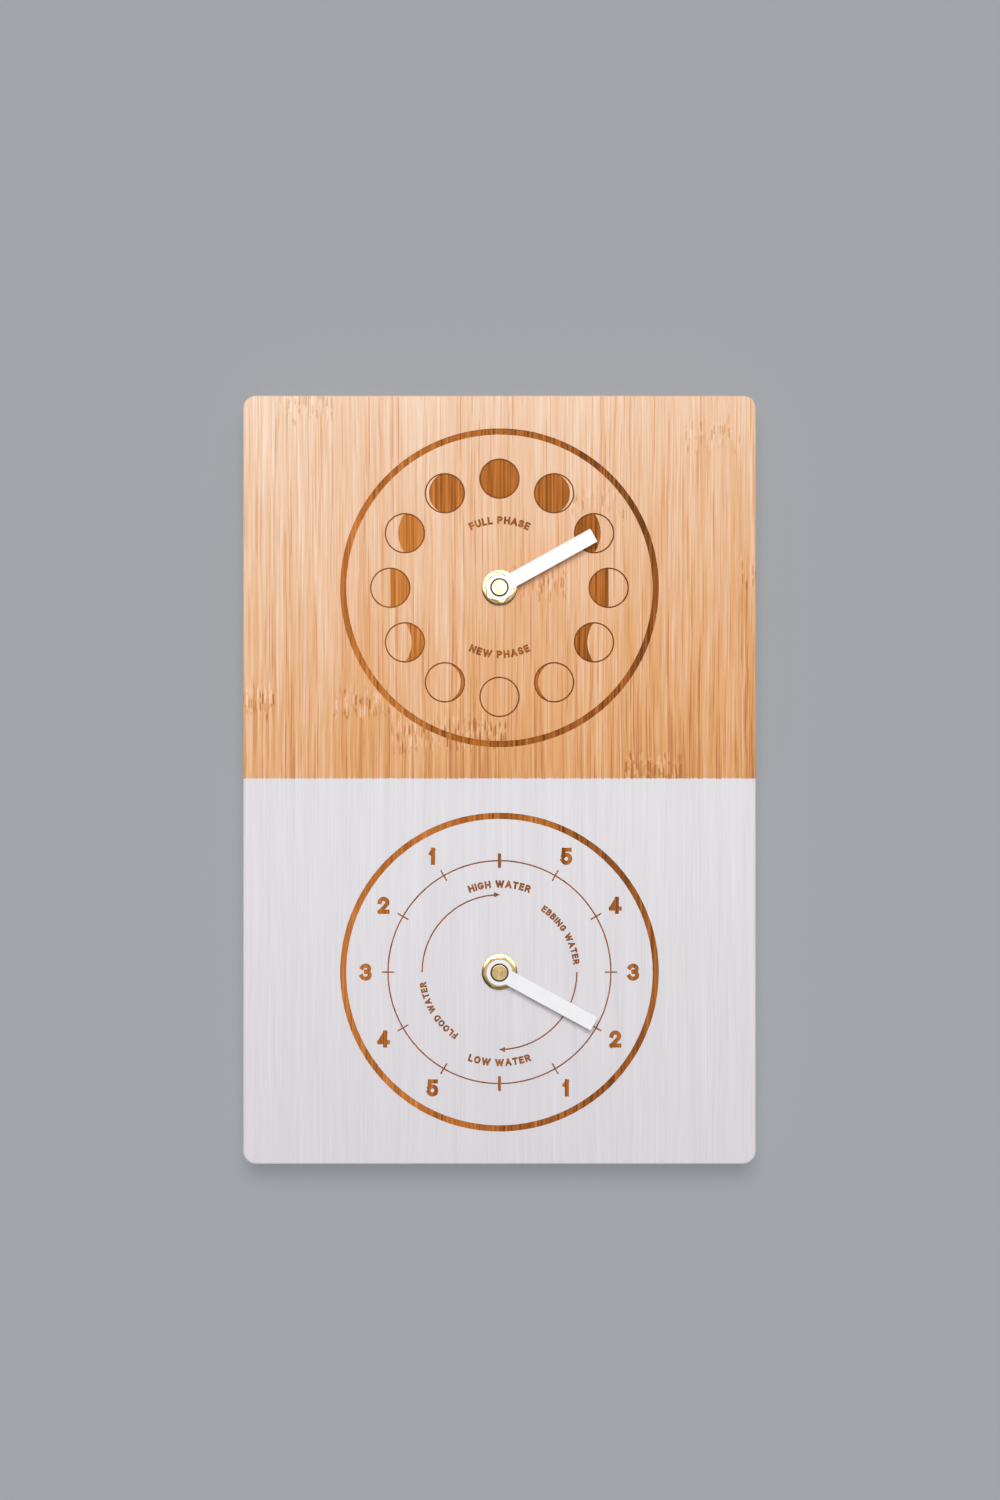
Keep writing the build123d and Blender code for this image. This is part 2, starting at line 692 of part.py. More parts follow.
def cover():
    """Rear cover over the train bay: snap tabs, and a sunk cup for the setting knob."""
    lid = case_outline() & Pos(0, BAY_TOP + CASE_H / 2) * Rectangle(CASE_W, CASE_H)
    body = between(lid, depth(D_COVER), depth(CASE_DEPTH))
    inner = KNOB_R + CUP_CLEAR
    body += rod(inner + CUP_WALL, depth(D_CUP_FLOOR - CUP_WALL), depth(D_COVER), KNOB_AXIS)
    body -= rod(inner, depth(D_CUP_FLOOR), depth(CASE_DEPTH), KNOB_AXIS)
    bearing = KNOB_SHOULDER_R + RUN_CLEAR
    body += rod(bearing + CUP_WALL, depth(D_KNOB_BEARING), depth(D_CUP_FLOOR), KNOB_AXIS)
    body -= rod(bearing, depth(D_KNOB_BEARING), depth(D_CUP_FLOOR), KNOB_AXIS)
    for angle, x, y in SNAP_PLACES:
        body += Pos(x, y) * Rot(0, 0, angle) * snap_tab()
    return body


def setting_knob():
    """Thumb knob with a bearing shoulder, a staff and the gear that turns the arbor."""
    grip_m = 2 * KNOB_R / KNOB_GRIPS
    outline = gear(KNOB_GRIPS, 0, add=0, ded=KNOB_GRIP_DEPTH / grip_m, module=grip_m)
    body = between(outline, depth(D_CUP_FLOOR + 2 * RUN_CLEAR), depth(CASE_DEPTH + KNOB_PROUD))
    body += rod(KNOB_SHOULDER_R, depth(D_KNOB_BEARING), depth(D_CUP_FLOOR + 2 * RUN_CLEAR))
    body += rod(KNOB_STAFF_R, depth(D_SETTING), depth(D_KNOB_BEARING))
    teeth = gear(SETTING_TEETH, facing(KNOB_ANGLE, SETTING_TEETH))
    body += between(teeth, depth(D_SETTING), depth(D_SETTING + SETTING_T))
    return Pos(*KNOB_AXIS) * body


def train_bridge():
    """Skeleton bridge over the train, pegged on three posts, with a hole for each rear pivot."""
    links = (
        (BRIDGE_PEGS[0], FIRST_AXIS),
        (FIRST_AXIS, ROTOR_AXIS),
        (ROTOR_AXIS, BRIDGE_PEGS[2]),
        (FIRST_AXIS, SECOND_AXIS),
        (BRIDGE_PEGS[1], SECOND_AXIS),
        (SECOND_AXIS, ARBOR_AXIS),
    )
    outline = Sketch()
    for a, b in links:
        outline += arm(a, b, BRIDGE_ARM_R)
    room = IN_TOP - TAB_CLEAR
    outline = outline & Pos(0, room - CASE_H / 2) * Rectangle(CASE_W, CASE_H)
    for axis in (FIRST_AXIS, SECOND_AXIS, ROTOR_AXIS):
        outline -= Pos(*axis) * Circle(PIVOT_R + RUN_CLEAR)
    outline -= Circle(ARBOR_PIVOT_R + RUN_CLEAR)
    for at in BRIDGE_PEGS:
        outline -= Pos(*at) * Circle(PEG_R + RUN_CLEAR)
    return between(outline, depth(D_BRIDGE), depth(D_REAR))


# Stepping motor

def stator():
    """Stator lamination: a head around the rotor, a bar, and two feet under the coil's core."""
    x, y = ROTOR_AXIS
    head = Pos(x, y) * RectangleRounded(STATOR_HEAD, STATOR_HEAD_H, LAMINATION_T)
    right = COIL_X + CORE_END
    left = COIL_X - CORE_END
    foot = COIL_Y - CORE_W / 2
    level = y - STATOR_BAR_W / 2
    bar = Pos((x + right) / 2, level) * Rectangle(right - x, STATOR_BAR_W)
    outline = head + bar
    for x0 in (left, right - CORE_W):
        outline += Pos(x0 + CORE_W / 2, (foot + level) / 2) * Rectangle(CORE_W, level - foot)
    outline -= Pos(x, y) * Circle(MAGNET_R + ROTOR_GAP)
    neck = ROTOR_GAP
    for side in (-1, 1):
        outline -= Pos(x, y + side * STATOR_HEAD_H / 2) * Circle(neck)
    for at in STATOR_PEGS:
        outline -= Pos(*at) * Circle(PEG_R + RUN_CLEAR)
    return between(outline, depth(D_STATOR), depth(D_CORE))


def coil_core():
    """Straight lamination through the coil, lying on the stator's feet."""
    bar = Pos(COIL_X, COIL_Y) * Rectangle(2 * CORE_END, CORE_W)
    return between(bar, depth(D_CORE), depth(D_CORE + LAMINATION_T))


def on_coil(profile):
    """A profile (along the coil, out from it) turned around the coil's axis."""
    return Pos(COIL_X, COIL_Y, depth(D_COIL)) * revolve(profile, Axis.X)


def spool(r, half):
    """Half section of a plain cylinder about the coil's axis."""
    return Pos(0, r / 2) * Rectangle(2 * half, r)


def coil_bobbin():
    """Spool with a flange at each end and a flat hole for the core."""
    flange = Pos(0, COIL_R / 2) * Rectangle(BOBBIN_FLANGE_T, COIL_R)
    place = COIL_L / 2 - BOBBIN_FLANGE_T / 2
    profile = spool(BOBBIN_R, COIL_L / 2) + Pos(place, 0) * flange + Pos(-place, 0) * flange
    hole = Pos(COIL_X, COIL_Y) * Rectangle(COIL_L, CORE_W + 2 * FIT_CLEAR)
    return on_coil(profile) - between(hole, depth(D_CORE - FIT_CLEAR), depth(D_CORE + LAMINATION_T + FIT_CLEAR))


def coil_winding():
    """Copper winding between the flanges of the spool."""
    half = COIL_L / 2 - BOBBIN_FLANGE_T
    outer = COIL_R - PINION_MARGIN
    return on_coil(spool(outer, half) - spool(BOBBIN_R + FIT_CLEAR, half))


# Circuit, battery and contacts

def circuit_board():
    """Circuit board on three posts, with the chip under its round drop of resin."""
    w = CIRCUIT_RIGHT - CIRCUIT_LEFT
    h = CIRCUIT_TOP - CIRCUIT_BOTTOM
    middle = ((CIRCUIT_LEFT + CIRCUIT_RIGHT) / 2, (CIRCUIT_TOP + CIRCUIT_BOTTOM) / 2)
    outline = Pos(*middle) * Rectangle(w, h)
    for at in CIRCUIT_PEGS:
        outline -= Pos(*at) * Circle(PEG_R + RUN_CLEAR)
    body = between(outline, depth(D_CIRCUIT), depth(D_LEAD))
    drop = rod(CHIP_R, depth(D_LEAD), depth(D_LEAD + CHIP_H))
    drop = chamfer(drop.edges().group_by(Axis.Z)[0], CHIP_H * 0.6)
    return body + Pos(middle[0] - CHIP_R, middle[1] + CHIP_R) * drop


def crystal():
    """Quartz crystal in its can, lying on the circuit board."""
    y = (CIRCUIT_TOP + CIRCUIT_BOTTOM) / 2
    can = Rot(90, 0, 0) * Cylinder(CRYSTAL_R, CRYSTAL_L)
    return Pos(CIRCUIT_RIGHT - 3 * POST_R, y, depth(D_LEAD + CRYSTAL_R)) * can


def battery_form(r):
    """A round form along the middle of the battery bay."""
    return Pos(0, BATTERY_Y, depth(D_BATTERY)) * Rot(0, 90, 0) * Cylinder(r, BATTERY_L)


def battery():
    """Round cell with bevelled ends and a nub at its positive end."""
    half = BATTERY_L / 2
    shoulder = half - BATTERY_NUB_L
    can = Pos((shoulder - half) / 2, 0) * Rot(0, 90, 0) * Cylinder(BATTERY_R, half + shoulder)
    can = chamfer(can.edges().filter_by(GeomType.CIRCLE), BATTERY_NUB_L / 2)
    nub = Pos(half - BATTERY_NUB_L, 0) * Rot(0, 90, 0) * Cylinder(BATTERY_NUB_R, 2 * BATTERY_NUB_L)
    return Pos(0, BATTERY_Y, depth(D_BATTERY)) * (can + nub)


def strip(points, d0, d1):
    """A thin strip on edge along a bent line, between two depths."""
    line = Polyline(*points)
    return between(trace(line, CONTACT_T), depth(d0), depth(d1))


def contact_blade(side):
    """Upright plate of a contact against the end wall of the battery bay."""
    x0, x1 = sorted((side * IN_X, side * (IN_X - CONTACT_T)))
    return box(x0, x1, BATTERY_Y - CONTACT_W / 2, BATTERY_Y + CONTACT_W / 2,
               depth(D_BATTERY + CONTACT_W / 2), depth(D_BATTERY - CONTACT_W / 2))


def contact_spring(side):
    """Bowed tongue that reaches from the plate to the end of the battery."""
    x = side * (IN_X - CONTACT_T)
    reach = side * (BATTERY_L / 2 + CONTACT_GAP)
    low = BATTERY_Y - CONTACT_W / 2
    high = BATTERY_Y + CONTACT_W / 2
    bow = make_face([ThreePointArc((x, low), (reach, BATTERY_Y), (x, high)), Line((x, high), (x, low))])
    hollow = Pos(side * CONTACT_T, 0) * bow
    return between(bow - hollow, depth(D_BATTERY - LEAD_W), depth(D_BATTERY + LEAD_W))


def contact(side):
    """Battery contact: a plate with its tongue, and a lead through the partition to the circuit."""
    x = side * (IN_X - CONTACT_T / 2)
    turn = PARTITION_TOP + CONTACT_T / 2
    end_x = LEAD_X + POST_R * (1 + side)
    lead = strip(((x, BATTERY_Y), (x, turn), (end_x, turn), (end_x, CIRCUIT_BOTTOM + POST_R)),
                 D_LEAD, D_LEAD + LEAD_W)
    return contact_blade(side) + contact_spring(side) + lead


# Writing the pieces

def stand(shape):
    """Turn the finished piece upright: the dials face -Y and the top of the board is +Z."""
    return Rot(90, 0, 0) * shape


def movement(turn, angle):
    """All pieces of one movement with its hand, about its own arbor."""
    return {
        "case": case(),
        "cover": cover(),
        "gasket": gasket(),
        "stem": stem(),
        "washer": washer(),
        "nut": nut(turn),
        "hand": hand(angle),
        "hand_bush": hand_bush(),
        "hand_cap": hand_cap(),
        "hand_arbor": hand_arbor(),
        "setting_gear": setting_gear(),
        "clutch_spring": clutch_spring(),
        "drive_wheel": drive_wheel(),
        "second_wheel": second_wheel(),
        "first_wheel": first_wheel(),
        "rotor_pinion": rotor_pinion(),
        "rotor_magnet": rotor_magnet(),
        "train_bridge": train_bridge(),
        "stator": stator(),
        "coil_core": coil_core(),
        "coil_bobbin": coil_bobbin(),
        "coil_winding": coil_winding(),
        "circuit_board": circuit_board(),
        "crystal": crystal(),
        "contact_plus": contact(1),
        "contact_minus": contact(-1),
        "battery": battery(),
        "setting_knob": setting_knob(),
    }


NUT_TURNS = {"moon": 11.0, "tide": -15.0}

pieces = {"board": board(), "hanger_plate": hanger_plate(), "hanger_screws": hanger_screws()}
for dial_name, dial_y, hand_angle in DIALS:
    for piece_name, piece in movement(NUT_TURNS[dial_name], hand_angle).items():
        pieces[f"{dial_name}_{piece_name}"] = Pos(0, dial_y) * piece

os.makedirs("parts", exist_ok=True)
for node, shape in pieces.items():
    export_step(stand(shape), f"parts/{node}.step")
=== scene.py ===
import json
import math

import bmesh
import bpy
import numpy as np
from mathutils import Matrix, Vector

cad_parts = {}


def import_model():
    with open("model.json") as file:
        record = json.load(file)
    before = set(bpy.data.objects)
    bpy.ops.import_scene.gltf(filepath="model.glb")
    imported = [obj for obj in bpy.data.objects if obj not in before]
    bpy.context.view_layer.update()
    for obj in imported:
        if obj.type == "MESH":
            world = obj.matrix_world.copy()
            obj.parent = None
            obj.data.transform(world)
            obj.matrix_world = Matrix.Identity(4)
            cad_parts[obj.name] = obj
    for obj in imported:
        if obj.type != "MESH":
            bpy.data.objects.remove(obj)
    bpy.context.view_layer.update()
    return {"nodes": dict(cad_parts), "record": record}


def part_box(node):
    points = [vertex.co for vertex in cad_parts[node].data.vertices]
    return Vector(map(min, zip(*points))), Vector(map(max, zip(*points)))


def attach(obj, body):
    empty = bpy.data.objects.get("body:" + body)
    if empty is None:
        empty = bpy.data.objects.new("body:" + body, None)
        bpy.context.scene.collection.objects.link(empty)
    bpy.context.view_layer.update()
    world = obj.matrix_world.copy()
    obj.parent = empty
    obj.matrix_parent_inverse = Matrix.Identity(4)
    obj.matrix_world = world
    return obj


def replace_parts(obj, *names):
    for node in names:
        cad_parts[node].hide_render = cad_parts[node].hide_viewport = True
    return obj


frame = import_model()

# Tide clock: looks of the bamboo board, its engraved dials, hands, brass and quartz movements.
# Metres. +X to the right, +Z up the board, -Y out of the wall towards the viewer.

MM = 0.001
NODES = frame["nodes"]
DIALS = ("moon", "tide")

# Places read from the frame
BOARD_LOW, BOARD_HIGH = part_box("board")
FACE = BOARD_LOW.y
BOARD_H = BOARD_HIGH.z - BOARD_LOW.z
BOARD_W = BOARD_HIGH.x - BOARD_LOW.x


def middle(node):
    """Middle of a node's box."""
    low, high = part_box(node)
    return (low + high) / 2


DIAL_Z = middle("moon_washer").z

# Engraving
ENGRAVE_DEPTH = 0.4 * MM
CUT_OVER = 0.3 * MM
DIAL_REACH = 66 * MM
RING_INSIDE = 57 * MM
MOON_ORBIT = 42.6 * MM
MOON_R = 7.9 * MM
WORD_REACH = 34.2 * MM
SCALE_REACH = 46.2 * MM
LINE_W = 0.55 * MM
DIGIT_H = 6.7 * MM
DIGIT_RING = 52.2 * MM
# Words bent round each dial: text, clock angle of its middle, height, radius, tops towards the centre or not
MOON_WORDS = (
    ("FULL PHASE", 0, 3.0 * MM, 26.4 * MM, False),
    ("NEW PHASE", 180, 3.0 * MM, 26.0 * MM, True),
)
TIDE_WORDS = (
    ("HIGH WATER", 0, 2.9 * MM, 34.4 * MM, False),
    ("LOW WATER", 180, 2.9 * MM, 35.3 * MM, True),
    ("EBBING WATER", 59, 2.6 * MM, 30.2 * MM, False),
    ("FLOOD WATER", 238, 2.6 * MM, 30.2 * MM, False),
)
# Weight of a stroke as a share of the letter's height
DIGIT_WEIGHT = 0.24
WORD_WEIGHT = 0.26
LETTER_GAP = 0.14

# Board finish
STRIP_W = 22.7 * MM
STRIP_START = -110.3 * MM
# Height of the first cane joint in each strip of the face, from the left edge to the right
JOINT_HEIGHTS = [h * MM for h in (31, 146, 29, 18, 19, 77, 108, 3, 135, 82)]
JOINT_SPACING = 172 * MM
# Half the height of a joint's band, and the blur of its edge
JOINT_HALF = 5.0 * MM
JOINT_BLUR = 1.2 * MM
# Torn edge of the band: width and reach of single torn fibres, then size and reach of larger tears
TORN_FIBRE_W = 0.8 * MM
TORN_FIBRE_REACH = 6 * MM
TEAR_SIZE = 5 * MM
TEAR_REACH = 7 * MM
# Fibres from coarse to hair-thin, then the flecks at a joint: width, length, shift sideways, seed
FIBRES = (
    (2.3 * MM, 110 * MM, 0.0, 1.0),
    (1.05 * MM, 62 * MM, 0.3 * MM, 2.0),
    (0.56 * MM, 38 * MM, 0.1 * MM, 3.0),
    (0.3 * MM, 18 * MM, 0.2 * MM, 8.0),
    (0.85 * MM, 5.2 * MM, 0.0, 4.0),
)
# Inner ply: half its thickness, and the width of its strips
PLY_HALF = 5 * MM
CORE_STRIP_W = 20.6 * MM
PAINT_TOP = 0.6 * MM
PAINT_EDGE = 0.15 * MM
# Within this distance of the board's outline the paint goes round onto the edges, and stops short of the back
PAINT_WRAP = 12 * MM
PAINT_STOP = -1.1 * MM
# Display colours along the ramps of the board's finish
WOOD_TONES = ((0.0, (252, 228, 206)), (0.28, (241, 206, 178)), (0.5, (233, 186, 147)),
              (0.75, (221, 160, 102)), (1.0, (178, 108, 56)))
CORE_TONES = ((0.1, (238, 196, 150)), (0.5, (219, 168, 118)), (0.9, (170, 112, 66)))
PAINT_TONES = ((0.1, (228, 225, 228)), (0.5, (219, 215, 219)), (0.9, (210, 206, 211)))
BURNT_TONES = ((0.0, (218, 142, 74)), (0.4, (190, 113, 44)), (0.7, (158, 90, 32)), (1.0, (108, 58, 20)))

# Camera and stage
VIEW_DISTANCE = 2.0
VIEW_HEIGHT = 11.7 * MM
VIEW_SIDE = 0.2 * MM
FRAME_H = 585.4 * MM
SENSOR_H = 36.0
WALL_COLOUR = (161, 165, 170)
# Share of the wall's brightness that is its own, so that shadows on it stay soft
WALL_GLOW = 0.55
WALL_GAP = 0.4 * MM
FLOOR_COLOUR = (214, 215, 216)
FLOOR_Z = -0.62
STAGE_REACH = 2.5
ROOM_LIGHT = 0.33
# Brightness that metal mirrors, by how far a direction points up (-1 to 1)
MIRRORED_ROOM = ((-0.88, 0.10), (-0.62, 0.55), (-0.36, 0.55), (-0.28, 0.13), (-0.2, 0.15), (-0.05, 0.64),
                 (0.15, 0.85), (0.5, 1.0))
# Suns: name, place, strength, angle across the disc in degrees, and whether metal mirrors it
SUNS = (
    ("key", (0, -2.0, 0.61), 2.26, 29, False),
    ("back_fill", (0.6, 2.0, 1.2), 1.7, 25, True),
    ("side_fill", (-2.0, 0.9, 0.7), 1.0, 25, False),
    ("side_fill", (2.0, 0.9, 0.7), 1.0, 25, False),
)
SOFTBOX_DISTANCE = 2.6
SOFTBOX_HEIGHT = 0.58
SOFTBOX_POWER = 17.5
SOFTBOX_SHAPE = {"shape": "RECTANGLE", "size": 1.5, "size_y": 1.0}


def colour(r, g, b):
    """Display colour, 0 to 255, as the linear colour that the shaders take."""
    share = np.array((r, g, b)) / 255
    linear = np.where(share <= 0.04045, share / 12.92, ((share + 0.055) / 1.055) ** 2.4)
    return (*linear.tolist(), 1.0)


class Value:
    """What a node gives out: a number, colour, vector or shader. Arithmetic on numbers adds Math nodes."""

    def __init__(self, nodes, socket):
        self.nodes = nodes
        self.socket = socket

    def output(self, key):
        """Another output of the same node."""
        return Value(self.nodes, self.socket.node.outputs[key])

    def __add__(self, other):
        return self.nodes.math("ADD", self, other)

    def __mul__(self, other):
        return self.nodes.math("MULTIPLY", self, other)

    __radd__ = __add__
    __rmul__ = __mul__

    def __sub__(self, other):
        return self.nodes.math("SUBTRACT", self, other)

    def __rsub__(self, other):
        return self.nodes.math("SUBTRACT", other, self)

    def __truediv__(self, other):
        return self.nodes.math("DIVIDE", self, other)

    def __rtruediv__(self, other):
        return self.nodes.math("DIVIDE", other, self)

    def __neg__(self):
        return self.nodes.math("MULTIPLY", self, -1)

    def __abs__(self):
        return self.nodes.math("ABSOLUTE", self)

    def __lt__(self, other):
        return self.nodes.math("LESS_THAN", self, other)

    def __gt__(self, other):
        return self.nodes.math("GREATER_THAN", self, other)


def set_stops(ramp, stops):
    """Give a colour ramp its stops, as pairs of place and colour."""
    while len(ramp.elements) < len(stops):
        ramp.elements.new(1.0)
    for element, (place, shade) in zip(ramp.elements, stops):
        element.position = place
        element.color = shade


class Nodes:
    """A node tree in the making, with one way to add any node."""

    def __init__(self, tree):
        self.tree = tree

    def node(self, kind, settings=None, inputs=None):
        """Add a node, its settings first, then the values or links of its sockets. Gives its first output."""
        node = self.tree.nodes.new(kind)
        for key, value in (settings or {}).items():
            if key == "stops":
                set_stops(node.color_ramp, value)
            else:
                setattr(node, key, value)
        for key, value in (inputs or {}).items():
            self.plug(node.inputs[key], value)
        return Value(self, node.outputs[0])

    def plug(self, socket, value):
        """Link a value to a socket, or set the socket to a plain number or colour."""
        if isinstance(value, Value):
            self.tree.links.new(value.socket, socket)
        else:
            socket.default_value = value

    def math(self, operation, *values):
        """Result of a Math node."""
        return self.node("ShaderNodeMath", {"operation": operation}, dict(enumerate(values)))

    def parts(self, vector):
        """The three parts of a vector as numbers."""
        split = self.node("ShaderNodeSeparateXYZ", None, {0: vector})
        return [split.output(axis) for axis in "XYZ"]

    def coordinates(self, kind):
        """The three parts of a kind of texture coordinate."""
        return self.parts(self.node("ShaderNodeTexCoord").output(kind))

    def vector(self, x, y, z):
        """A vector from three numbers."""
        return self.node("ShaderNodeCombineXYZ", None, {0: x, 1: y, 2: z})

    def hypot(self, a, b):
        """Length of the long side of a right triangle."""
        return self.math("SQRT", a * a + b * b)

    def scaled(self, place, size):
        """A place in units of a size, which may differ along the three axes."""
        sizes = np.broadcast_to(size, 3).tolist()
        return self.vector(*(part / length for part, length in zip(place, sizes)))

    def noise(self, place, size, detail=2.0, roughness=0.5):
        """Smooth noise from 0 to 1 with features of a size."""
        inputs = {"Vector": self.scaled(place, size), "Scale": 1.0, "Detail": detail, "Roughness": roughness}
        return self.node("ShaderNodeTexNoise", None, inputs)

    def cells(self, place, size):
        """Distance from the middle of the nearest of many scattered cells of a size."""
        return self.node("ShaderNodeTexVoronoi", None, {"Vector": self.scaled(place, size), "Scale": 1.0})

    def scatter(self, a, b=0.0, c=0.0):
        """A random number from 0 to 1 for each set of whole numbers."""
        inputs = {"Vector": self.vector(a, b, c)}
        return self.node("ShaderNodeTexWhiteNoise", {"noise_dimensions": "3D"}, inputs)

    def dashes(self, across, along, width, length, seed):
        """Fibres side by side, each in pieces end to end: a random tone for each piece, from -1 to 1.

        The tone is full in the middle of a piece and fades towards its two sides and its two ends.
        """
        side_place = across / width
        fibre = self.math("FLOOR", side_place)
        end_place = along / length + self.scatter(fibre, seed) * 31.0
        piece = self.math("FLOOR", end_place)
        tone = self.scatter(fibre, piece, seed + 0.5) * 2 - 1
        from_side = 1 - abs((side_place - fibre) * 2 - 1)
        from_end = 1 - abs((end_place - piece) * 2 - 1)
        return tone * self.step(from_side, 0.0, 0.55) * self.step(from_end, 0.0, 0.5)

    def step(self, value, low, high):
        """0 below low, 1 above high, with a smooth rise between."""
        inputs = {"Value": value, "From Min": low, "From Max": high}
        return self.node("ShaderNodeMapRange", {"interpolation_type": "SMOOTHSTEP"}, inputs)

    def ramp(self, value, stops, interpolation="LINEAR"):
        """Colour along a ramp."""
        shade = self.node("ShaderNodeValToRGB", {"stops": stops}, {0: value})
        shade.socket.node.color_ramp.interpolation = interpolation
        return shade

    def tones(self, value, stops):
        """Colour along a ramp of display colours."""
        return self.ramp(value, [(at, colour(*shade)) for at, shade in stops])

    def mix(self, a, b, factor):
        """Colour from a to b."""
        return self.node("ShaderNodeMix", {"data_type": "RGBA"}, {0: factor, 6: a, 7: b}).output(2)

    def shade(self, base, factor):
        """A colour multiplied by a number."""
        inputs = {0: 1.0, 6: base, 7: self.vector(factor, factor, factor)}
        return self.node("ShaderNodeMix", {"data_type": "RGBA", "blend_type": "MULTIPLY"}, inputs).output(2)

    def blend(self, a, b, factor):
        """Shader from a to b."""
        return self.node("ShaderNodeMixShader", None, {0: factor, 1: a, 2: b})


class Finish(Nodes):
    """A material in the making, round a Principled shader."""

    def __init__(self, name, **constants):
        self.material = bpy.data.materials.new(name)
        self.material.use_nodes = True
        super().__init__(self.material.node_tree)
        self.shader = self.tree.nodes["Principled BSDF"]
        self.done(**constants)

    def place(self):
        """The three object coordinates as numbers."""
        return self.coordinates("Object")

    def facing(self):
        """The three parts of the surface's own direction as numbers."""
        return self.coordinates("Normal")

    def bump(self, height, distance, strength=1.0):
        """Relief whose height, from 0 to 1, stands for a real distance."""
        inputs = {"Strength": strength, "Distance": distance, "Height": height}
        self.plug(self.shader.inputs["Normal"], self.node("ShaderNodeBump", None, inputs))

    def done(self, **outputs):
        """Feed the shader's sockets and give back the material."""
        for socket, value in outputs.items():
            self.plug(self.shader.inputs[socket.replace("_", " ")], value)
        return self.material


# Finishes

def cane_joints(f, place, strip, chance):
    """Frayed bands where the canes had their joints, and the darker stretch below each one.

    A strip's first joint is at a known height, its second a cane's length below. The band's edge lies
    higher or lower for each fibre, so that it looks torn. Joints near the top are fainter.
    """
    x, y, z = place
    count = len(JOINT_HEIGHTS)
    stops = [(i / count, (h / BOARD_H + 0.5,) * 3 + (1.0,)) for i, h in enumerate(JOINT_HEIGHTS)]
    known = f.ramp((strip + 0.5) / count, stops, "CONSTANT")
    first = (f.parts(known)[0] - 0.5) * BOARD_H
    torn = (f.scatter(f.math("FLOOR", x / TORN_FIBRE_W), 5.0) - 0.5) * TORN_FIBRE_REACH
    torn = torn + (f.noise((x, y, 0.0), TEAR_SIZE) - 0.5) * TEAR_REACH
    above = z - first + torn
    above_second = above + JOINT_SPACING + chance * (20 * MM)
    nearest = f.math("MINIMUM", abs(above), abs(above_second))
    faint = f.step(z, 20 * MM, 75 * MM) * 0.42
    band = (1 - f.step(nearest, JOINT_HALF - JOINT_BLUR, JOINT_HALF + JOINT_BLUR)) * (1 - faint)
    below = f.step(-above, -1 * MM, 3 * MM) * (1 - f.step(-above, 14 * MM, 46 * MM))
    return band, below


def fibre_tones(f, place, joint):
    """Tones of broad bands and of each kind of fibre.

    Fibres run up the strip, waver a little and wander at a joint. Deeper layers have fibres of their own.
    """
    x, y, z = place
    waver = (f.noise(place, (30 * MM, 30 * MM, 60 * MM), 1) - 0.5) * (1.6 * MM)
    wander = (f.noise(place, (2.6 * MM, 2.6 * MM, 5 * MM)) - 0.5) * joint * (1.1 * MM)
    layer = f.math("FLOOR", y / (1.7 * MM) - 0.4) * (7.3 * MM)
    across = x + waver + wander + layer
    broad = f.noise((across, y, z), (7 * MM, 7 * MM, 160 * MM), 1) - 0.5
    return broad, *(f.dashes(across + shift, z, width, length, seed) for width, length, shift, seed in FIBRES)


def bamboo():
    """Oiled bamboo strips with cane joints, white paint below the middle, burnt brown engraving."""
    f = Finish("bamboo", IOR=1.45, Specular_IOR_Level=0.3)
    place = f.place()
    x, _, z = place
    nx, ny, nz = f.facing()
    strip_place = (x - STRIP_START) / STRIP_W
    strip = f.math("FLOOR", strip_place)
    across = strip_place - strip
    chance = f.scatter(strip, 3.0)
    joint, below = cane_joints(f, place, strip, chance)
    broad, coarse, fibre, fine, hair, fleck = fibre_tones(f, place, joint)
    streaky = 0.75 + f.scatter(strip, 9.0) * 0.5

    # tone: pale at the top left, tan towards the lower right, browner just below a joint
    down = f.math("MINIMUM", 1 - z / (BOARD_H / 2), 1.0)
    right = x / BOARD_W + 0.5
    tone = down * 0.85 + right * 0.28 + (chance - 0.5) * 0.16 + broad * 0.35 + below * 0.08
    tone = tone + (coarse * 0.09 + fibre * 0.18 + fine * 0.36 + hair * 0.24) * streaky
    tone = tone + joint * (fleck * 0.62 + 0.08)
    wood = f.tones(tone * 0.5 + 0.25, WOOD_TONES)
    seam = f.step(abs(across - 0.5), 0.488, 0.5)
    reddish = f.step(fibre * 0.45 + fine * 0.6, 0.38, 0.7)
    wood = f.mix(wood, colour(204, 132, 100), reddish * 0.42)
    wood = f.mix(wood, colour(178, 102, 50), joint * f.step(fleck, 0.25, 0.8) * 0.5)
    wood = f.shade(wood, 1 - seam * 0.10)

    wood = with_inner_ply(f, place, nx, wood)

    # end grain darker and duller
    end_grain = f.step(abs(nz), 0.6, 0.9)
    wood = f.shade(wood, 1 - end_grain * 0.12 + end_grain * hair * 0.12)

    # white paint, thin enough for the grain to show; its tone is painted lighter towards its top edge:
    # painted light
    bleed = fine * (0.25 * MM)
    painted = painted_part(f, place, bleed)
    painted_light_on_paint = f.step(z, -BOARD_H / 2, 0.0)
    cover = coarse * 0.12 + fibre * 0.2 + fine * 0.3 + hair * 0.2 + broad * 0.5 - painted_light_on_paint * 0.7 + 0.35
    surface = f.mix(wood, f.tones(cover * 0.5 + 0.5, PAINT_TONES), painted)

    # burnt floor and walls of the engraving
    cut, burnt = scorched(f, place, ny, right - 0.5, fibre, fine)
    surface = f.mix(surface, burnt, cut)

    gloss = 0.46 + fibre * 0.06 + fine * 0.05 + cut * 0.3 - painted * 0.04 + end_grain * 0.4
    f.bump(fine * 0.3 + fibre * 0.3 + joint * fleck * 0.4 + cut * fleck * 0.5, 0.04 * MM, 0.35)
    return f.done(Base_Color=surface, Roughness=gloss)


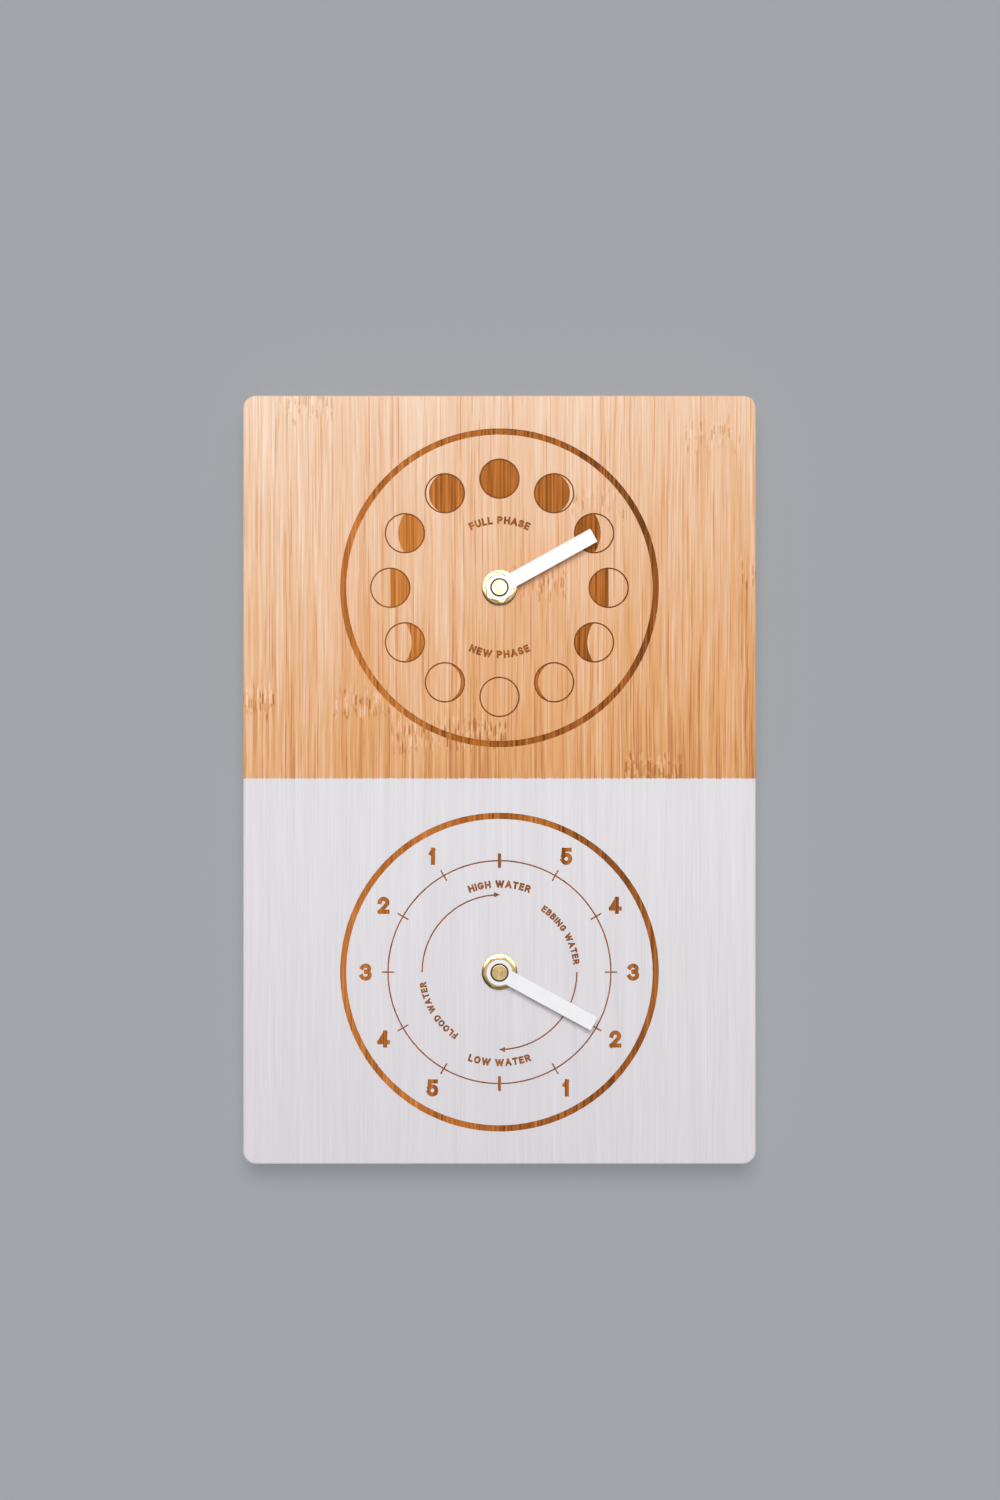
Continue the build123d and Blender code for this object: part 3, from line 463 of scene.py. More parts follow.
def with_inner_ply(f, place, nx, wood):
    """The wood's colour with the inner ply added, between two lines of glue.

    This ply lies across: its strips show their ends on the long edges, their sides above and below.
    """
    from_core = abs(place[1] - FACE / 2)
    ply = 1 - f.step(from_core, PLY_HALF - 0.2 * MM, PLY_HALF + 0.2 * MM)
    core_wood = f.mix(core_sides(f, place), core_ends(f, place), f.step(abs(nx), 0.5, 0.8))
    glue = 1 - f.step(abs(from_core - PLY_HALF), 0.05 * MM, 0.25 * MM)
    return f.shade(f.mix(wood, core_wood, ply), 1 - glue * 0.25)


def core_sides(f, place):
    """Long fibres on the sides of the inner ply's strips."""
    x, y, _ = place
    tone = f.dashes(y, x, 1.1 * MM, 60 * MM, 6.0) + f.dashes(y, x, 0.5 * MM, 35 * MM, 7.0)
    return f.tones(tone * 0.2 + 0.5, CORE_TONES)


def core_ends(f, place):
    """Ends of the inner ply's strips: each with its own tone, dotted with fibres, a seam between strips."""
    along = place[2] / CORE_STRIP_W
    strip = f.math("FLOOR", along)
    dots = 1 - f.step(f.cells(place, 0.62 * MM), 0.16, 0.42)
    crowd = f.noise(place, (9 * MM, 4 * MM, 9 * MM))
    seam = f.step(abs(along - strip - 0.5), 0.485, 0.5)
    tone = (f.scatter(strip, 12.0) - 0.5) * 0.5 + dots * (0.25 + crowd * 0.7) + seam * 0.5 - 0.3
    return f.tones(tone * 0.5 + 0.5, CORE_TONES)


def painted_part(f, place, bleed):
    """1 on the lower half of the face and of the board's outer edges, 0 elsewhere."""
    x, y, z = place
    lower = 1 - f.step(z + bleed, PAINT_TOP - PAINT_EDGE, PAINT_TOP + PAINT_EDGE)
    front = y < FACE + 1 * MM
    beside = abs(x) > BOARD_W / 2 - PAINT_WRAP
    under = z < PAINT_WRAP - BOARD_H / 2
    edges = f.math("MAXIMUM", beside, under) * (1 - f.step(y, PAINT_STOP - 0.2 * MM, PAINT_STOP + 0.2 * MM))
    return lower * f.math("MAXIMUM", front, edges)


def scorched(f, place, ny, from_middle, fibre, fine):
    """Where the face is engraved, and the burnt colour there.

    It is darker to the right, on the rings, on the walls of a cut, and in narrow cuts: outlines, letters,
    scale and arrows.
    """
    x, y, z = place
    radius = f.hypot(x, abs(z) - DIAL_Z)
    cut = f.step(y, FACE + 0.04 * MM, FACE + 0.12 * MM) * (1 - f.step(y, FACE + 0.6 * MM, FACE + 0.8 * MM))
    cut = cut * (radius < DIAL_REACH)
    angle = f.math("ARCTAN2", x, z - DIAL_Z)
    sector = math.pi / 6
    turned = angle - f.math("ROUND", angle / sector) * sector
    reach = f.hypot(x, z - DIAL_Z)
    off_x = reach * f.math("SINE", turned)
    off_z = reach * f.math("COSINE", turned) - MOON_ORBIT
    moon_r = f.hypot(off_x, off_z)
    outline = 1 - f.step(abs(moon_r - MOON_R + LINE_W / 2), LINE_W * 0.35, LINE_W * 0.8)
    patch = f.noise(place, (16 * MM, 16 * MM, 30 * MM))
    on_ring = radius > RING_INSIDE
    on_scale = (z < 0.0) * (1 - on_ring)
    heat = 0.51 + fibre * 0.26 + fine * 0.28 + (patch - 0.5) * 0.55 + from_middle * 0.9
    heat = heat + on_ring * (0.10 - from_middle * 0.2) + on_scale * (0.08 - from_middle * 0.65)
    wall = 1 - f.step(abs(ny), 0.3, 0.8)
    narrow = radius < (z < 0.0) * (SCALE_REACH - WORD_REACH) + WORD_REACH
    scorch = f.math("MAXIMUM", f.math("MAXIMUM", outline * 0.62, wall * 0.3), narrow * 0.24)
    return cut, f.mix(f.tones(heat, BURNT_TONES), colour(98, 56, 20), scorch)


def brass(name, light, deep, rough, ring_pitch):
    """Lathe-turned brass: fine rings about the hub, a little tarnish."""
    f = Finish(name, Metallic=1.0)
    place = f.place()
    x, y, z = place
    from_axis = f.hypot(x, abs(z) - DIAL_Z)
    rings = f.noise((from_axis, 0.0, y), (ring_pitch, 1.0, 0.25 * MM))
    tarnish = f.noise(place, 2.5 * MM, 4)
    base = f.mix(colour(*light), colour(*deep), f.step(tarnish, 0.4, 0.75) * 0.6 + (rings - 0.5) * 0.3)
    f.bump(rings, 0.004 * MM, 0.5)
    return f.done(Base_Color=base, Roughness=rough + (rings - 0.5) * 0.1 + (tarnish - 0.5) * 0.1)


def hand_paint():
    """White lacquer with a faint orange peel and a trace of dust."""
    f = Finish("hand_paint", IOR=1.5, Coat_Weight=0.8, Coat_Roughness=0.08)
    place = f.place()
    peel = f.noise(place, 0.6 * MM)
    dust = f.noise(place, 6 * MM, 5, 0.7)
    base = f.mix(colour(240, 239, 241), colour(235, 234, 236), f.step(dust, 0.45, 0.75))
    f.bump(peel, 0.01 * MM, 0.4)
    return f.done(Base_Color=base, Roughness=0.22 + (dust - 0.5) * 0.1)


def moulded(name, light, deep, grain, rough):
    """Injection-moulded plastic: spark-eroded grain, soft flow marks, handling gloss."""
    f = Finish(name, IOR=1.5)
    place = f.place()
    flow = f.noise(place, (14 * MM, 14 * MM, 9 * MM), 3)
    pits = f.noise(place, grain, 2, 0.6)
    specks = f.noise(place, 3 * grain)
    base = f.mix(colour(*light), colour(*deep), f.step(flow, 0.3, 0.7) * 0.6 + (specks - 0.5) * 0.5)
    f.bump(pits, 0.03 * MM, 0.5)
    return f.done(Base_Color=base, Roughness=rough + (flow - 0.5) * 0.2 + (pits - 0.5) * 0.25)


def plated(name, light, deep, rough, grain):
    """Plated sheet steel: rolling lines, a faint spangle and fine scratches."""
    f = Finish(name, Metallic=1.0)
    place = f.place()
    lines = f.noise(place, (grain, 8 * grain, 24 * grain), 3)
    spangle = f.cells(place, 3 * MM)
    scratch = f.noise(place, (9 * MM, 9 * MM, 0.25 * MM), 1)
    base = f.mix(colour(*light), colour(*deep), f.step(spangle, 0.1, 0.9) * 0.25 + (lines - 0.5) * 0.6)
    worn = f.step(scratch, 0.66, 0.74)
    base = f.mix(base, colour(*light), worn * 0.5)
    f.bump(lines + worn * 0.3, 0.01 * MM, 0.4)
    return f.done(Base_Color=base, Roughness=rough + (lines - 0.5) * 0.25 + spangle * 0.06)


def rubber():
    """Black rubber: matt, dusty, with fine pores."""
    f = Finish("rubber", IOR=1.5)
    place = f.place()
    pores = f.noise(place, 0.2 * MM, 3)
    dust = f.noise(place, 4 * MM, 4)
    base = f.mix(colour(28, 28, 29), colour(62, 61, 60), f.step(dust, 0.5, 0.8) * 0.5 + (pores - 0.5) * 0.2)
    f.bump(pores, 0.03 * MM, 0.6)
    return f.done(Base_Color=base, Roughness=0.82 + (pores - 0.5) * 0.2)


WIRE_PITCH = 0.16 * MM


def copper():
    """Enamelled wire: close turns across the coil, with painted shade darkening the valleys between turns."""
    f = Finish("copper", Metallic=1.0)
    place = f.place()
    turn = f.math("SINE", place[0] * (2 * math.pi / WIRE_PITCH)) * 0.5 + 0.5
    lay = f.noise(place, (0.9 * MM, 3 * MM, 3 * MM))
    # painted shade: the colour darkens towards the valley between two turns
    base = f.mix(colour(196, 108, 56), colour(122, 56, 26), turn * 0.5 + (lay - 0.5) * 0.8)
    f.bump(1 - turn, 0.05 * MM, 0.8)
    return f.done(Base_Color=base, Roughness=0.3 + (lay - 0.5) * 0.3)


CHIP_DROP_H = 1.0 * MM


def circuit():
    """Green resin board with faint tracks, and a black drop of resin over the chip."""
    f = Finish("circuit", IOR=1.5)
    place = f.place()
    x, y, z = place
    board_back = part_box("moon_circuit_board")[1].y - CHIP_DROP_H
    track_x = abs(f.math("FRACT", x / (2.4 * MM) + f.math("FLOOR", z / (5 * MM)) * 0.37) - 0.5)
    track_z = abs(f.math("FRACT", z / (2.9 * MM) + f.math("FLOOR", x / (6 * MM)) * 0.29) - 0.5)
    tracks = 1 - f.step(f.math("MINIMUM", track_x, track_z), 0.10, 0.14)
    weave = f.noise(place, 0.4 * MM)
    green = f.mix(colour(34, 82, 48), colour(52, 112, 66), tracks * 0.8 + (weave - 0.5) * 0.4)
    drop = f.step(y, board_back + 0.02 * MM, board_back + 0.08 * MM)
    base = f.mix(green, colour(22, 22, 23), drop)
    f.bump(tracks + weave * 0.3, 0.03 * MM, 0.5)
    return f.done(Base_Color=base, Roughness=0.42 + (weave - 0.5) * 0.2 - drop * 0.14)


CELL_NUB_R = 2.75 * MM
CELL_NUB_L = 1.2 * MM
NUB_ROUND = 0.25 * MM
CELL_RIM = 0.55 * MM
# Shallow dish in the flat end: its radius and depth
CELL_DISH_R = 3.6 * MM
CELL_DISH = 0.3 * MM
# Wrap: its thickness, and how far its edges lie from the can's ends
WRAP_T = 0.06 * MM
WRAP_EDGE = 1.0 * MM
PALE_BAND_L = 13.5 * MM
LINE_BESIDE_BAND = 14.1 * MM


def battery_wrap():
    """Plain cell: a dark wrap with a pale band at the positive end, bare metal at both ends."""
    f = Finish("battery_wrap", IOR=1.5)
    place = f.place()
    low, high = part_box("moon_battery")
    from_plus = high.x - place[0]
    from_minus = place[0] - low.x
    metal = 1 - f.step(f.math("MINIMUM", from_plus - CELL_NUB_L - 0.1 * MM, from_minus), 0.35 * MM, 0.45 * MM)
    band = 1 - f.step(from_plus, PALE_BAND_L - 0.1 * MM, PALE_BAND_L + 0.1 * MM)
    edge = 1 - f.step(abs(from_plus - LINE_BESIDE_BAND), 0.25 * MM, 0.35 * MM)
    scuff = f.noise(place, (5 * MM, 0.5 * MM, 0.5 * MM), 3)
    wrap = f.mix(colour(46, 50, 56), colour(182, 186, 190), f.math("MAXIMUM", band, edge))
    wrap = f.shade(wrap, 0.92 + (scuff - 0.5) * 0.35)
    base = f.mix(wrap, colour(196, 194, 190), metal)
    f.bump(scuff, 0.01 * MM, 0.4)
    return f.done(Base_Color=base, Metallic=metal, Roughness=0.3 + (scuff - 0.5) * 0.3)


def magnet():
    """Sintered magnet: dark grey grains."""
    f = Finish("magnet", Metallic=0.6)
    grains = f.cells(f.place(), 0.12 * MM)
    base = f.mix(colour(58, 58, 62), colour(98, 98, 103), grains)
    f.bump(grains, 0.01 * MM, 0.6)
    return f.done(Base_Color=base, Roughness=0.5 + grains * 0.2)


FINISHES = {
    "bamboo": bamboo(),
    "case_plastic": moulded("case_plastic", (46, 46, 48), (33, 33, 35), 0.3 * MM, 0.5),
    "knob_plastic": moulded("knob_plastic", (214, 213, 208), (196, 195, 190), 0.3 * MM, 0.42),
    "white_plastic": moulded("white_plastic", (236, 234, 226), (222, 220, 212), 0.4 * MM, 0.4),
    "gear_plastic": moulded("gear_plastic", (232, 228, 212), (214, 208, 190), 0.4 * MM, 0.36),
    "rubber": rubber(),
    "brass": brass("brass", (232, 204, 150), (190, 154, 94), 0.14, 0.22 * MM),
    "turned_brass": brass("turned_brass", (236, 204, 150), (208, 168, 106), 0.15, 0.16 * MM),
    # dark_brass: brass painted dark for the part seen in the gap round each cap, standing for the shade
    # there: painted shade
    "dark_brass": brass("dark_brass", (70, 58, 42), (44, 36, 26), 0.45, 0.25 * MM),
    "hand_paint": hand_paint(),
    "steel": plated("steel", (206, 206, 202), (164, 165, 166), 0.34, 0.12 * MM),
    "lamination": plated("lamination", (138, 140, 146), (104, 108, 116), 0.42, 0.15 * MM),
    "nickel": plated("nickel", (222, 219, 212), (190, 187, 180), 0.26, 0.1 * MM),
    "copper": copper(),
    "circuit": circuit(),
    "magnet": magnet(),
    "battery_wrap": battery_wrap(),
}


# Making meshes

def mesh_object(name, mesh, finish, body):
    """A piece of the clock: its mesh in place, its finish, and the body that carries it."""
    piece = bpy.data.objects.new(name, mesh)
    bpy.context.scene.collection.objects.link(piece)
    mesh.materials.clear()
    mesh.materials.append(FINISHES[finish])
    mesh.polygons.foreach_set("use_smooth", np.ones(len(mesh.polygons), bool))
    mesh.set_sharp_from_angle(angle=math.radians(32))
    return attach(piece, body)


def tidy(mesh, merge=True):
    """Drop any carried-over normals, merge coincident points and turn all faces outwards."""
    if "custom_normal" in mesh.attributes:
        mesh.attributes.remove(mesh.attributes["custom_normal"])
    work = bmesh.new()
    work.from_mesh(mesh)
    if merge:
        bmesh.ops.remove_doubles(work, verts=work.verts, dist=1e-6)
        bmesh.ops.dissolve_degenerate(work, edges=work.edges, dist=1e-8)
    bmesh.ops.recalc_face_normals(work, faces=work.faces)
    work.to_mesh(mesh)
    work.free()
    return mesh


def skin(name, grid, loop=False):
    """Mesh over a grid of points: columns go round and close, rows run along the form.

    With loop set, the last row joins the first as well, as on a ring.
    """
    rows, columns = grid.shape[:2]
    index = np.arange(rows * columns).reshape(rows, columns)
    below = np.roll(index, -1, axis=0)
    if not loop:
        index, below = index[:-1], below[:-1]
    quads = np.stack((index, np.roll(index, -1, 1), np.roll(below, -1, 1), below), -1)
    mesh = bpy.data.meshes.new(name)
    mesh.from_pydata(grid.reshape(-1, 3).tolist(), [], quads.reshape(-1, 4).tolist())
    return tidy(mesh)


# Where the two sides and the axis of a round form point
FRONT_AXES = np.array(((1, 0, 0), (0, 0, 1), (0, -1, 0)), float)
BACK_AXES = np.array(((1, 0, 0), (0, 0, 1), (0, 1, 0)), float)
ACROSS_AXES = np.array(((0, 1, 0), (0, 0, 1), (1, 0, 0)), float)


def around(radius, height, angle, origin, axes):
    """Points of a round form: out by radius at an angle, and along the axis by height."""
    radius, height, angle = np.broadcast_arrays(radius, height, angle)
    local = np.stack((radius * np.cos(angle), radius * np.sin(angle), height), -1)
    return local @ axes + np.array(origin)


def turns(count):
    """Angles once round, as a row."""
    return np.linspace(0, 2 * math.pi, count, endpoint=False)[None, :]


def column(values):
    """Values down the rows of a grid."""
    return np.array(values, float)[:, None]


def arc(x, y, across, up, start, end, count=15):
    """Points along an ellipse, from one angle to another in degrees."""
    turn = np.radians(np.linspace(start, end, count))
    return np.stack((x + across * np.cos(turn), y + up * np.sin(turn)), -1)


def line(*points):
    """Points of a straight-sided line."""
    return np.array(points, float)


def turned(parts, steps, origin, axes):
    """Points of a form turned on a lathe, from the parts of its profile: pairs of radius and height."""
    profile = np.concatenate(parts)
    return around(profile[:, :1], profile[:, 1:], turns(steps), origin, axes)


# Brass on the face

CAP_PIN_R = 1.0 * MM
CAP_PIN_L = 3.0 * MM
CAP_BEVEL = 0.18 * MM
CAP_RIPPLE = 0.003 * MM
CAP_PITCH = 0.31 * MM


def turned_cap(dial):
    """Cap of a hand, turned in one piece with its pin.

    The profile runs from the pin's end over the rim to the middle of the head, where
    height = top - ripple * (1 - cos(one turn * radius / pitch)).
    """
    low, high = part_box(f"{dial}_hand_cap")
    rim = (high.x - low.x) / 2
    inside = rim - CAP_BEVEL
    head = high.y - low.y - CAP_PIN_L
    face_r = np.linspace(inside, 0, 41)
    face_h = head - CAP_RIPPLE * (1 - np.cos(2 * math.pi * face_r / CAP_PITCH))
    pin = line((0, -CAP_PIN_L), (CAP_PIN_R - CAP_BEVEL, -CAP_PIN_L), (CAP_PIN_R, CAP_BEVEL - CAP_PIN_L),
               (CAP_PIN_R, 0), (inside, 0), (rim, CAP_BEVEL))
    edge = arc(inside, head - CAP_BEVEL, CAP_BEVEL, CAP_BEVEL, 0, 90, 6)[:-1]
    centre = middle(f"{dial}_hand_cap")
    origin = (centre.x, high.y - CAP_PIN_L, centre.z)
    grid = turned((pin, edge, np.stack((face_r, face_h), -1)), 72, origin, FRONT_AXES)
    piece = mesh_object(f"{dial}_turned_cap", skin("cap", grid), "turned_brass", f"{dial}_hand_set")
    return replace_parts(piece, f"{dial}_hand_cap")


NUT_AF = 11.0 * MM
NUT_BORE = 4.05 * MM
NUT_BEVEL = 0.35 * MM
NUT_EASE = 0.15 * MM
# Corner as a share of the flat's distance, and how sharply the two meet
NUT_CORNER = 1.14
NUT_CRISPNESS = 90
# Direction in which a flat of the nut faces
NUT_TURN = {"moon": 11.0, "tide": -24.0}


def hexagon_nut(dial):
    """Thin hexagon nut with bevelled edges.

    Outside, the radius is (across flats / 2 - inset) / cos(angle from the flat's middle), with its corners a
    little rounded; the inset grows towards both faces over the height of the bevel.
    """
    low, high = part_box(f"{dial}_nut")
    thick = high.y - low.y
    angle = turns(180)
    sector = math.pi / 3
    flat_middle = math.radians(NUT_TURN[dial])
    off = np.mod(angle - flat_middle + sector / 2, sector) - sector / 2
    level = column((0.0, 0.3, 0.9, 1.2)) * NUT_BEVEL
    height = np.concatenate((level, thick - level[::-1]))
    inset = np.clip(NUT_BEVEL - np.minimum(height, thick - height), 0, None)
    flat = (NUT_AF / 2 - inset) / np.cos(off)
    corner = (NUT_AF / 2 - inset) * NUT_CORNER
    outside = (flat ** -NUT_CRISPNESS + corner ** -NUT_CRISPNESS) ** (-1 / NUT_CRISPNESS)
    bore = np.full_like(angle, NUT_BORE)
    radius = np.concatenate((bore + NUT_EASE, bore, bore, bore + NUT_EASE, outside[::-1]))
    bore_h = column((0.0, NUT_EASE, thick - NUT_EASE, thick))
    origin = (middle(f"{dial}_nut").x, high.y, DIAL_Z if dial == "moon" else -DIAL_Z)
    grid = around(radius, np.concatenate((bore_h, height[::-1])), angle, origin, FRONT_AXES)
    piece = mesh_object(f"{dial}_hexagon_nut", skin("nut", grid, loop=True), "brass", "clock")
    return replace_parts(piece, f"{dial}_nut")


WASHER_FLAT_R = 5.0 * MM
WASHER_FALL = 0.14 * MM
WASHER_POWER = 2.5
WASHER_ROUND = 0.16 * MM


def domed_washer(dial):
    """Washer, flat under the nut, falling off a little beyond it, with a rounded rim.

    Beyond the flat, height = thickness - fall * (share of the way to the rim) ** power.
    """
    low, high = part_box(f"{dial}_washer")
    rim = (high.x - low.x) / 2
    thick = high.y - low.y
    share = np.linspace(0, 1, 14)
    inside = rim - WASHER_ROUND
    dome_r = WASHER_FLAT_R + (inside - WASHER_FLAT_R) * share
    dome_h = thick - WASHER_FALL * share ** WASHER_POWER
    bore = line((rim, 0), (NUT_BORE, 0), (NUT_BORE, thick))
    edge = arc(inside, dome_h[-1] - WASHER_ROUND, WASHER_ROUND, WASHER_ROUND, 90, 0, 7)[1:]
    centre = middle(f"{dial}_washer")
    origin = (centre.x, high.y, centre.z)
    grid = turned((bore, np.stack((dome_r, dome_h), -1), edge), 96, origin, FRONT_AXES)
    piece = mesh_object(f"{dial}_domed_washer", skin("washer", grid, loop=True), "brass", "clock")
    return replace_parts(piece, f"{dial}_washer")


# Lettering in the board

STEM = line((0, 0), (0, 1))
BOWL = [line((0, 1), (0.5, 1)), arc(0.5, 0.74, 0.46, 0.26, 90, -90), line((0.5, 0.48), (0, 0.48))]
# Each sign: its width as a share of its height, and the centre lines of its strokes in a unit square
SIGNS = {
    " ": (0.35, []),
    "1": (0.46, [line((0.62, 0), (0.62, 1)), line((0.62, 0.98), (0.05, 0.72))]),
    "2": (0.68, [np.concatenate((arc(0.5, 0.72, 0.5, 0.28, 175, -35), line((0.0, 0.0)))),
                 line((0, 0), (1, 0))]),
    "3": (0.70, [arc(0.48, 0.76, 0.46, 0.24, 160, -85), arc(0.48, 0.27, 0.52, 0.27, 85, -160)]),
    "4": (0.74, [line((0.68, 0), (0.68, 1)), line((0.66, 0.97), (0.02, 0.27)), line((0, 0.25), (1, 0.25))]),
    "5": (0.69, [line((0.92, 1), (0.15, 1)), line((0.15, 1), (0.08, 0.5)),
                 arc(0.48, 0.31, 0.52, 0.31, 140, -160)]),
    "A": (0.86, [line((0, 0), (0.5, 1)), line((0.5, 1), (1, 0)), line((0.25, 0.3), (0.75, 0.3))]),
    "B": (0.76, [STEM, line((0, 1), (0.5, 1)), arc(0.5, 0.77, 0.42, 0.23, 90, -90),
                 line((0.5, 0.54), (0, 0.54)), arc(0.52, 0.27, 0.48, 0.27, 90, -90),
                 line((0.52, 0), (0, 0))]),
    "D": (0.82, [STEM, line((0, 1), (0.45, 1)), arc(0.45, 0.5, 0.55, 0.5, 90, -90), line((0.45, 0), (0, 0))]),
    "E": (0.68, [STEM, line((0, 1), (1, 1)), line((0, 0.52), (0.9, 0.52)), line((0, 0), (1, 0))]),
    "F": (0.66, [STEM, line((0, 1), (1, 1)), line((0, 0.5), (0.9, 0.5))]),
    "G": (0.86, [arc(0.5, 0.5, 0.5, 0.5, 45, 340, 25), line((0.95, 0.42), (0.6, 0.42))]),
    "H": (0.80, [STEM, line((1, 0), (1, 1)), line((0, 0.5), (1, 0.5))]),
    "I": (0.20, [line((0.5, 0), (0.5, 1))]),
    "L": (0.62, [STEM, line((0, 0), (1, 0))]),
    "N": (0.82, [STEM, line((1, 0), (1, 1)), line((0, 1), (1, 0))]),
    "O": (0.90, [arc(0.5, 0.5, 0.5, 0.5, 90, 450, 33)]),
    "P": (0.74, [STEM, *BOWL]),
    "R": (0.76, [STEM, *BOWL, line((0.5, 0.48), (1, 0))]),
    "S": (0.70, [np.concatenate((arc(0.5, 0.76, 0.48, 0.24, 25, 260), arc(0.5, 0.26, 0.5, 0.26, 80, -155)))]),
    "T": (0.76, [line((0, 1), (1, 1)), line((0.5, 0), (0.5, 1))]),
    "U": (0.80, [np.concatenate((line((0, 1)), arc(0.5, 0.4, 0.5, 0.4, 180, 360), line((1, 1))))]),
    "W": (1.20, [line((0, 1), (0.26, 0)), line((0.26, 0), (0.5, 0.96)), line((0.5, 0.96), (0.74, 0)),
                 line((0.74, 0), (1, 1))]),
}


def stroke(centre_line, weight):
    """The two sides of a stroke drawn along a centre line.

    Each point steps sideways by half the weight, divided by the cosine of half the turn at a corner;
    both ends run on by half the weight.
    """
    ahead = np.diff(centre_line, axis=0)
    ahead = ahead / np.linalg.norm(ahead, axis=1, keepdims=True)
    path = centre_line.copy()
    path[0] -= ahead[0] * weight / 2
    path[-1] += ahead[-1] * weight / 2
    before = np.vstack((ahead[:1], ahead))
    after = np.vstack((ahead, ahead[-1:]))
    along = before + after
    along = along / np.linalg.norm(along, axis=1, keepdims=True)
    side = np.stack((-along[:, 1], along[:, 0]), -1)
    side = side * (weight / 2) / np.sum(along * after, axis=1, keepdims=True)
    return path + side, path - side


def ridge(sides, foot, top, narrow=1.0):
    """A stroke as a closed solid between two levels of y; at the top its width is narrowed by a share."""
    middle_line = (sides[0] + sides[1]) / 2
    half = (sides[0] - sides[1]) / 2
    corners = np.stack((middle_line + half, middle_line - half,
                        middle_line - half * narrow, middle_line + half * narrow), 1)
    level = np.broadcast_to(np.array((foot, foot, top, top)), corners.shape[:2])
    points = np.stack((corners[..., 0], level, corners[..., 1]), -1).reshape(-1, 3)
    index = np.arange(len(points)).reshape(-1, 4)
    walls = np.stack((index[:-1], np.roll(index[:-1], -1, 1), np.roll(index[1:], -1, 1), index[1:]), -1)
    return points, walls.reshape(-1, 4).tolist() + [index[0].tolist(), index[-1, ::-1].tolist()]


def word(text, at, turn, height, radius=None, inward=False, boldness=WORD_WEIGHT):
    """Cuts for a text centred at a point, upright or bent round a centre.

    A bent text has its middle at the clock angle given by turn. Each letter is placed whole: its distance
    along the line becomes an angle. The tops of inward letters point to the centre.
    """
    widths = [SIGNS[sign][0] * height for sign in text]
    gap = LETTER_GAP * height
    start = -(sum(widths) + gap * (len(text) - 1)) / 2
    weight = boldness * height
    side = -1 if inward else 1
    solids = []
    for sign, width in zip(text, widths):
        middle_u = start + width / 2
        start += width + gap
        angle = 0.0
        shift = (middle_u, 0.0)
        if radius is not None:
            angle = math.radians(turn) + side * middle_u / radius
            shift = (0.0, radius)
        spin = np.array(((math.cos(angle), -math.sin(angle)), (math.sin(angle), math.cos(angle))))
        for centre_line in SIGNS[sign][1]:
            local = (centre_line - 0.5) * np.array((width - weight, height - weight)) * side + np.array(shift)
            sides = [side_line @ spin + np.array(at) for side_line in stroke(local, weight)]
            solids.append(ridge(sides, FACE - CUT_OVER, FACE + ENGRAVE_DEPTH))
    return solids


def dial_lettering():
    """Every letter and digit cut into the two dials."""
    cuts = []
    for words, centre_z in ((MOON_WORDS, DIAL_Z), (TIDE_WORDS, -DIAL_Z)):
        for text, turn, height, radius, inward in words:
            cuts += word(text, (0.0, centre_z), turn, height, radius, inward)
    for hours in range(1, 6):
        for start in (180, 360):
            angle = math.radians(start - 30 * hours)
            at = (DIGIT_RING * math.sin(angle), DIGIT_RING * math.cos(angle) - DIAL_Z)
            cuts += word(str(hours), at, 0, DIGIT_H, boldness=DIGIT_WEIGHT)
    return cuts


def solids_mesh(name, solids):
    """One mesh from several solids, each a set of points and faces."""
    points = []
    faces = []
    start = 0
    for place, corners in solids:
        points.append(place)
        faces += [tuple(start + i for i in corner) for corner in corners]
        start += len(place)
    mesh = bpy.data.meshes.new(name)
    mesh.from_pydata(np.concatenate(points).tolist(), [], faces)
    return tidy(mesh, merge=False)


def carved(name, node, cuts, finish, body):
    """A node with solids cut out of it, in place of the plain node."""
    plain = bpy.data.objects.new(name, tidy(NODES[node].data.copy()))
    cutter = bpy.data.objects.new("cutter", solids_mesh("cutter", cuts))
    for item in (plain, cutter):
        bpy.context.scene.collection.objects.link(item)
    cut = plain.modifiers.new("cut", "BOOLEAN")
    cut.object = cutter
    cut.operation = "DIFFERENCE"
    cut.solver = "EXACT"
    cut.use_self = True
    bpy.context.view_layer.update()
    mesh = bpy.data.meshes.new_from_object(plain.evaluated_get(bpy.context.evaluated_depsgraph_get()))
    bpy.data.objects.remove(plain)
    bpy.data.objects.remove(cutter)
    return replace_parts(mesh_object(name, tidy(mesh), finish, body), node)


# Back of the clock

SCREW_R = 1.4 * MM
SCREW_HEAD_R = 2.7 * MM
SCREW_L = 12.0 * MM
SCREW_PITCH = 1.3 * MM
THREAD_DEPTH = 0.28
CROSS_REACH = 1.75 * MM
CROSS_HALF_W = 0.36 * MM
CROSS_DEPTH = 1.15 * MM


